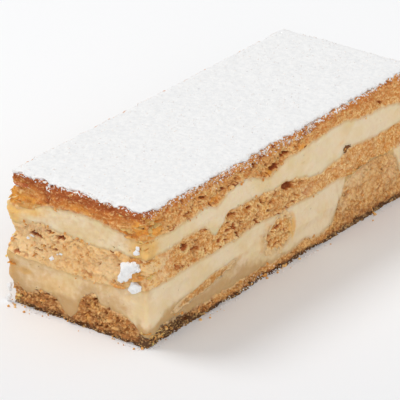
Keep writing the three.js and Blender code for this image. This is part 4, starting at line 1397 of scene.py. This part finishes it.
def build():
    golden = baked_pastry("golden_crumb", GOLDEN)
    browned = baked_pastry("browned_crust", BROWNED)
    dark = baked_pastry("dark_base_crumb", DARK)
    cream = set_cream("set_vanilla_cream")
    sugar = sifted_sugar("sifted_icing_sugar", SUGAR)
    fallen_sugar = sifted_sugar("sugar_grains_on_pastry", SUGAR_THIN)
    caramel = caramel_flake("caramelised_flake")
    relief = relief_tree()
    soft = {"Ledge": 0.1, "Leaf": 0.02, "Grain": 1.3, "Grain depth": 0.07, "Large pore": 1.6}
    soft |= {"Small pore": 0.6, "Pore depth": 0.45}

    # each layer has its floor, its roof, rows of facets up its side, its crags, belly and paint
    base = layer_piece("base_sheet", under_base, on_base, 48, PASTRY_CRAG, 0, base_paint)
    run_tree(base, relief, dark, {"Large pore": 2.0})
    squeezed = (CREAM_CRAG, CREAM_BELLY)
    lower = layer_piece(
        "lower_cream_bed", on_base, under_middle, 44, *squeezed, lower_cream_paint, lumps=SUNK
    )
    run_tree(lower, relief, cream, soft)
    middle = layer_piece("middle_sheet", under_middle, on_middle, 44, PASTRY_CRAG, 0, middle_paint)
    run_tree(middle, relief, golden)
    upper = layer_piece("upper_cream_bed", on_middle, under_top, 28, *squeezed, upper_cream_paint)
    run_tree(upper, relief, cream, soft | {"Pore depth": 0.8})
    top = layer_piece("top_sheet", under_top, on_top, 40, PASTRY_CRAG, 0, top_paint)
    run_tree(top, relief, browned, {"Ledge": 0.4, "Leaf": 0.2})
    coat = sugar_coat(sugar)
    # each lump has its knobs: how high they stand, and how far apart
    block = lump_piece(BROKEN_BLOCK, 6, ((0.5, 2.2), (0.45, 1.1)), 1.0)
    run_tree(block, relief, golden, {"Large pore": 1.7})
    flake = lump_piece(SUNK_FLAKE, 6, ((0.2, 2.0), (0.2, 0.9)), 0.0, 0.3)
    run_tree(flake, relief, golden)
    large = lump_piece(LARGE_CLUMP, 5, ((0.42, 1.5), (0.22, 0.7)))
    small = lump_piece(SMALL_CLUMP, 5, ((0.3, 1.3), (0.16, 0.6)))
    for clump in (large, small):
        clump.data.materials.append(sugar)
    stands_for = (
        (base, "base_pastry"),
        (lower, "lower_cream"),
        (middle, "middle_pastry"),
        (upper, "upper_cream"),
        (top, "top_pastry"),
        (coat, "icing_sugar"),
        (block, "side_crumb_block"),
        (flake, "side_flake"),
        (large, "sugar_clump_large"),
        (small, "sugar_clump_small"),
    )
    for piece, node in stands_for:
        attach(piece, "root")
        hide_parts(node)

    grains = strew(
        "sugar_grains",
        kinds_of("grain", [crumb_shape(1, 0.35, seed) for seed in range(4)]),
        [faces_of(coat, sugar_by_rim), faces_of(top, sugar_under_rim), floor_band(2.2, sugar_on_floor)],
        fallen_sugar,
        tumbled=True,
        sizes={"Per square mm": 7.0, "Least": 0.15, "Greatest": 0.55, "Seed": 3},
    )
    crumbs = strew(
        "pastry_crumbs",
        kinds_of("crumb", [crumb_shape(2, 0.45, seed) for seed in range(5)]),
        [faces_of(bed, crumbs_on_cream) for bed in (lower, upper)] + [floor_band(3.2, crumbs_by_base)],
        golden,
        tumbled=True,
        sizes={"Per square mm": 1.6, "Least": 0.25, "Greatest": 1.1, "Seed": 5},
    )
    loose = strew(
        "loose_flakes",
        kinds_of("flake", [leaf(1.0, 0.55, 0.09, 0.5, 40 + seed, 2) for seed in range(5)]),
        [faces_of(sheet, leaves_on_cut) for sheet in (base, middle, top)],
        browned,
        tumbled=False,
        sizes={"Per square mm": 0.16, "Least": 0.7, "Greatest": 2.4, "Seed": 7},
    )
    flakes = corner_flakes(caramel)
    bits = sugar_bits(sugar)
    for piece, slot in (
        (grains, "icing_sugar"),
        (bits, "icing_sugar"),
        (crumbs, "middle_pastry"),
        (loose, "top_pastry"),
        (flakes, "top_pastry"),
    ):
        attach(piece, "root")


# ---------------------------------------------------------------- camera, light and floor

FLOOR_HALF = 6.0  # metres
# the near floor's darker colour: painted shade
FLOOR_NEAR = "#ededee"
FLOOR_FAR = "#f9f9f9"
SKY = "#fcfdff"
KEY_LIGHT = "#ffffff"
FILL_LIGHT = "#fffefc"


def camera():
    """Looks down on the near corner, from well away, with the slice running off to the right."""
    azimuth, elevation, roll = (math.radians(angle) for angle in (37.177, 25.105, -0.112))
    away, aside, raised = 939.51, -4.9577, 11.8019
    level = math.cos(elevation)
    back = Vector((math.sin(azimuth) * level, -math.cos(azimuth) * level, math.sin(elevation)))
    right = (-back).cross(Vector((0, 0, 1))).normalized()
    up = back.cross(right)
    eye = back * away + right * aside + up * raised
    data = bpy.data.cameras.new("camera")
    data.lens = 315.0
    data.sensor_width = 36.0
    data.clip_end = 20.0
    data.dof.use_dof = False
    view = bpy.data.objects.new("camera", data)
    turn = Matrix((right, up, back)).transposed().to_4x4() @ Matrix.Rotation(roll, 4, "Z")
    view.matrix_world = Matrix.Translation(Vector(place(eye))) @ turn
    bpy.context.scene.collection.objects.link(view)
    bpy.context.scene.camera = view


def light(name, where, size, power, colour):
    """A round soft light that looks at the slice."""
    data = bpy.data.lights.new(name, "AREA")
    data.shape = "DISK"
    data.size = size
    data.energy = power
    data.color = linear(colour)[:3]
    lamp = bpy.data.objects.new(name, data)
    lamp.location = where
    lamp.rotation_euler = (Vector((0, 0, 0.02)) - Vector(where)).to_track_quat("-Z", "Y").to_euler()
    bpy.context.scene.collection.objects.link(lamp)


def studio():
    world = bpy.data.worlds.new("studio")
    world.use_nodes = True
    sky = world.node_tree.nodes["Background"]
    sky.inputs["Color"].default_value = linear(SKY)
    sky.inputs["Strength"].default_value = 0.58
    bpy.context.scene.world = world
    light("key", (-1.39, -0.4, 2.05), 1.1, 26.0, KEY_LIGHT)
    light("fill", (1.5, -1.5, 1.36), 1.5, 16.0, FILL_LIGHT)

    mesh = bpy.data.meshes.new("floor")
    s = FLOOR_HALF
    mesh.from_pydata([(-s, -s, 0), (s, -s, 0), (s, s, 0), (-s, s, 0)], [], [(0, 1, 2, 3)])
    floor = bpy.data.objects.new("floor", mesh)
    bpy.context.scene.collection.objects.link(floor)
    # a matt white table, a little whiter beyond the slice: its near part painted darker, painted shade
    # on the floor in front of the slice
    material, tree, _ = new_material("matt_white_table")
    spot = add(tree, "ShaderNodeTexCoord").outputs["Object"]
    depth = add(tree, VECTOR_MATH, {0: spot, 1: (-0.405, 0.947, 0)}, operation="DOT_PRODUCT")
    colour = laid(tree, FLOOR_NEAR, FLOOR_FAR, depth.outputs["Value"], -0.15, 0.05)
    surface = add(tree, "ShaderNodeBsdfPrincipled", {"Base Color": colour, "Roughness": 0.85})
    add(tree, "ShaderNodeOutputMaterial", {"Surface": surface})
    mesh.materials.append(material)
    bpy.context.scene.view_settings.view_transform = "Standard"


camera()
studio()
build()
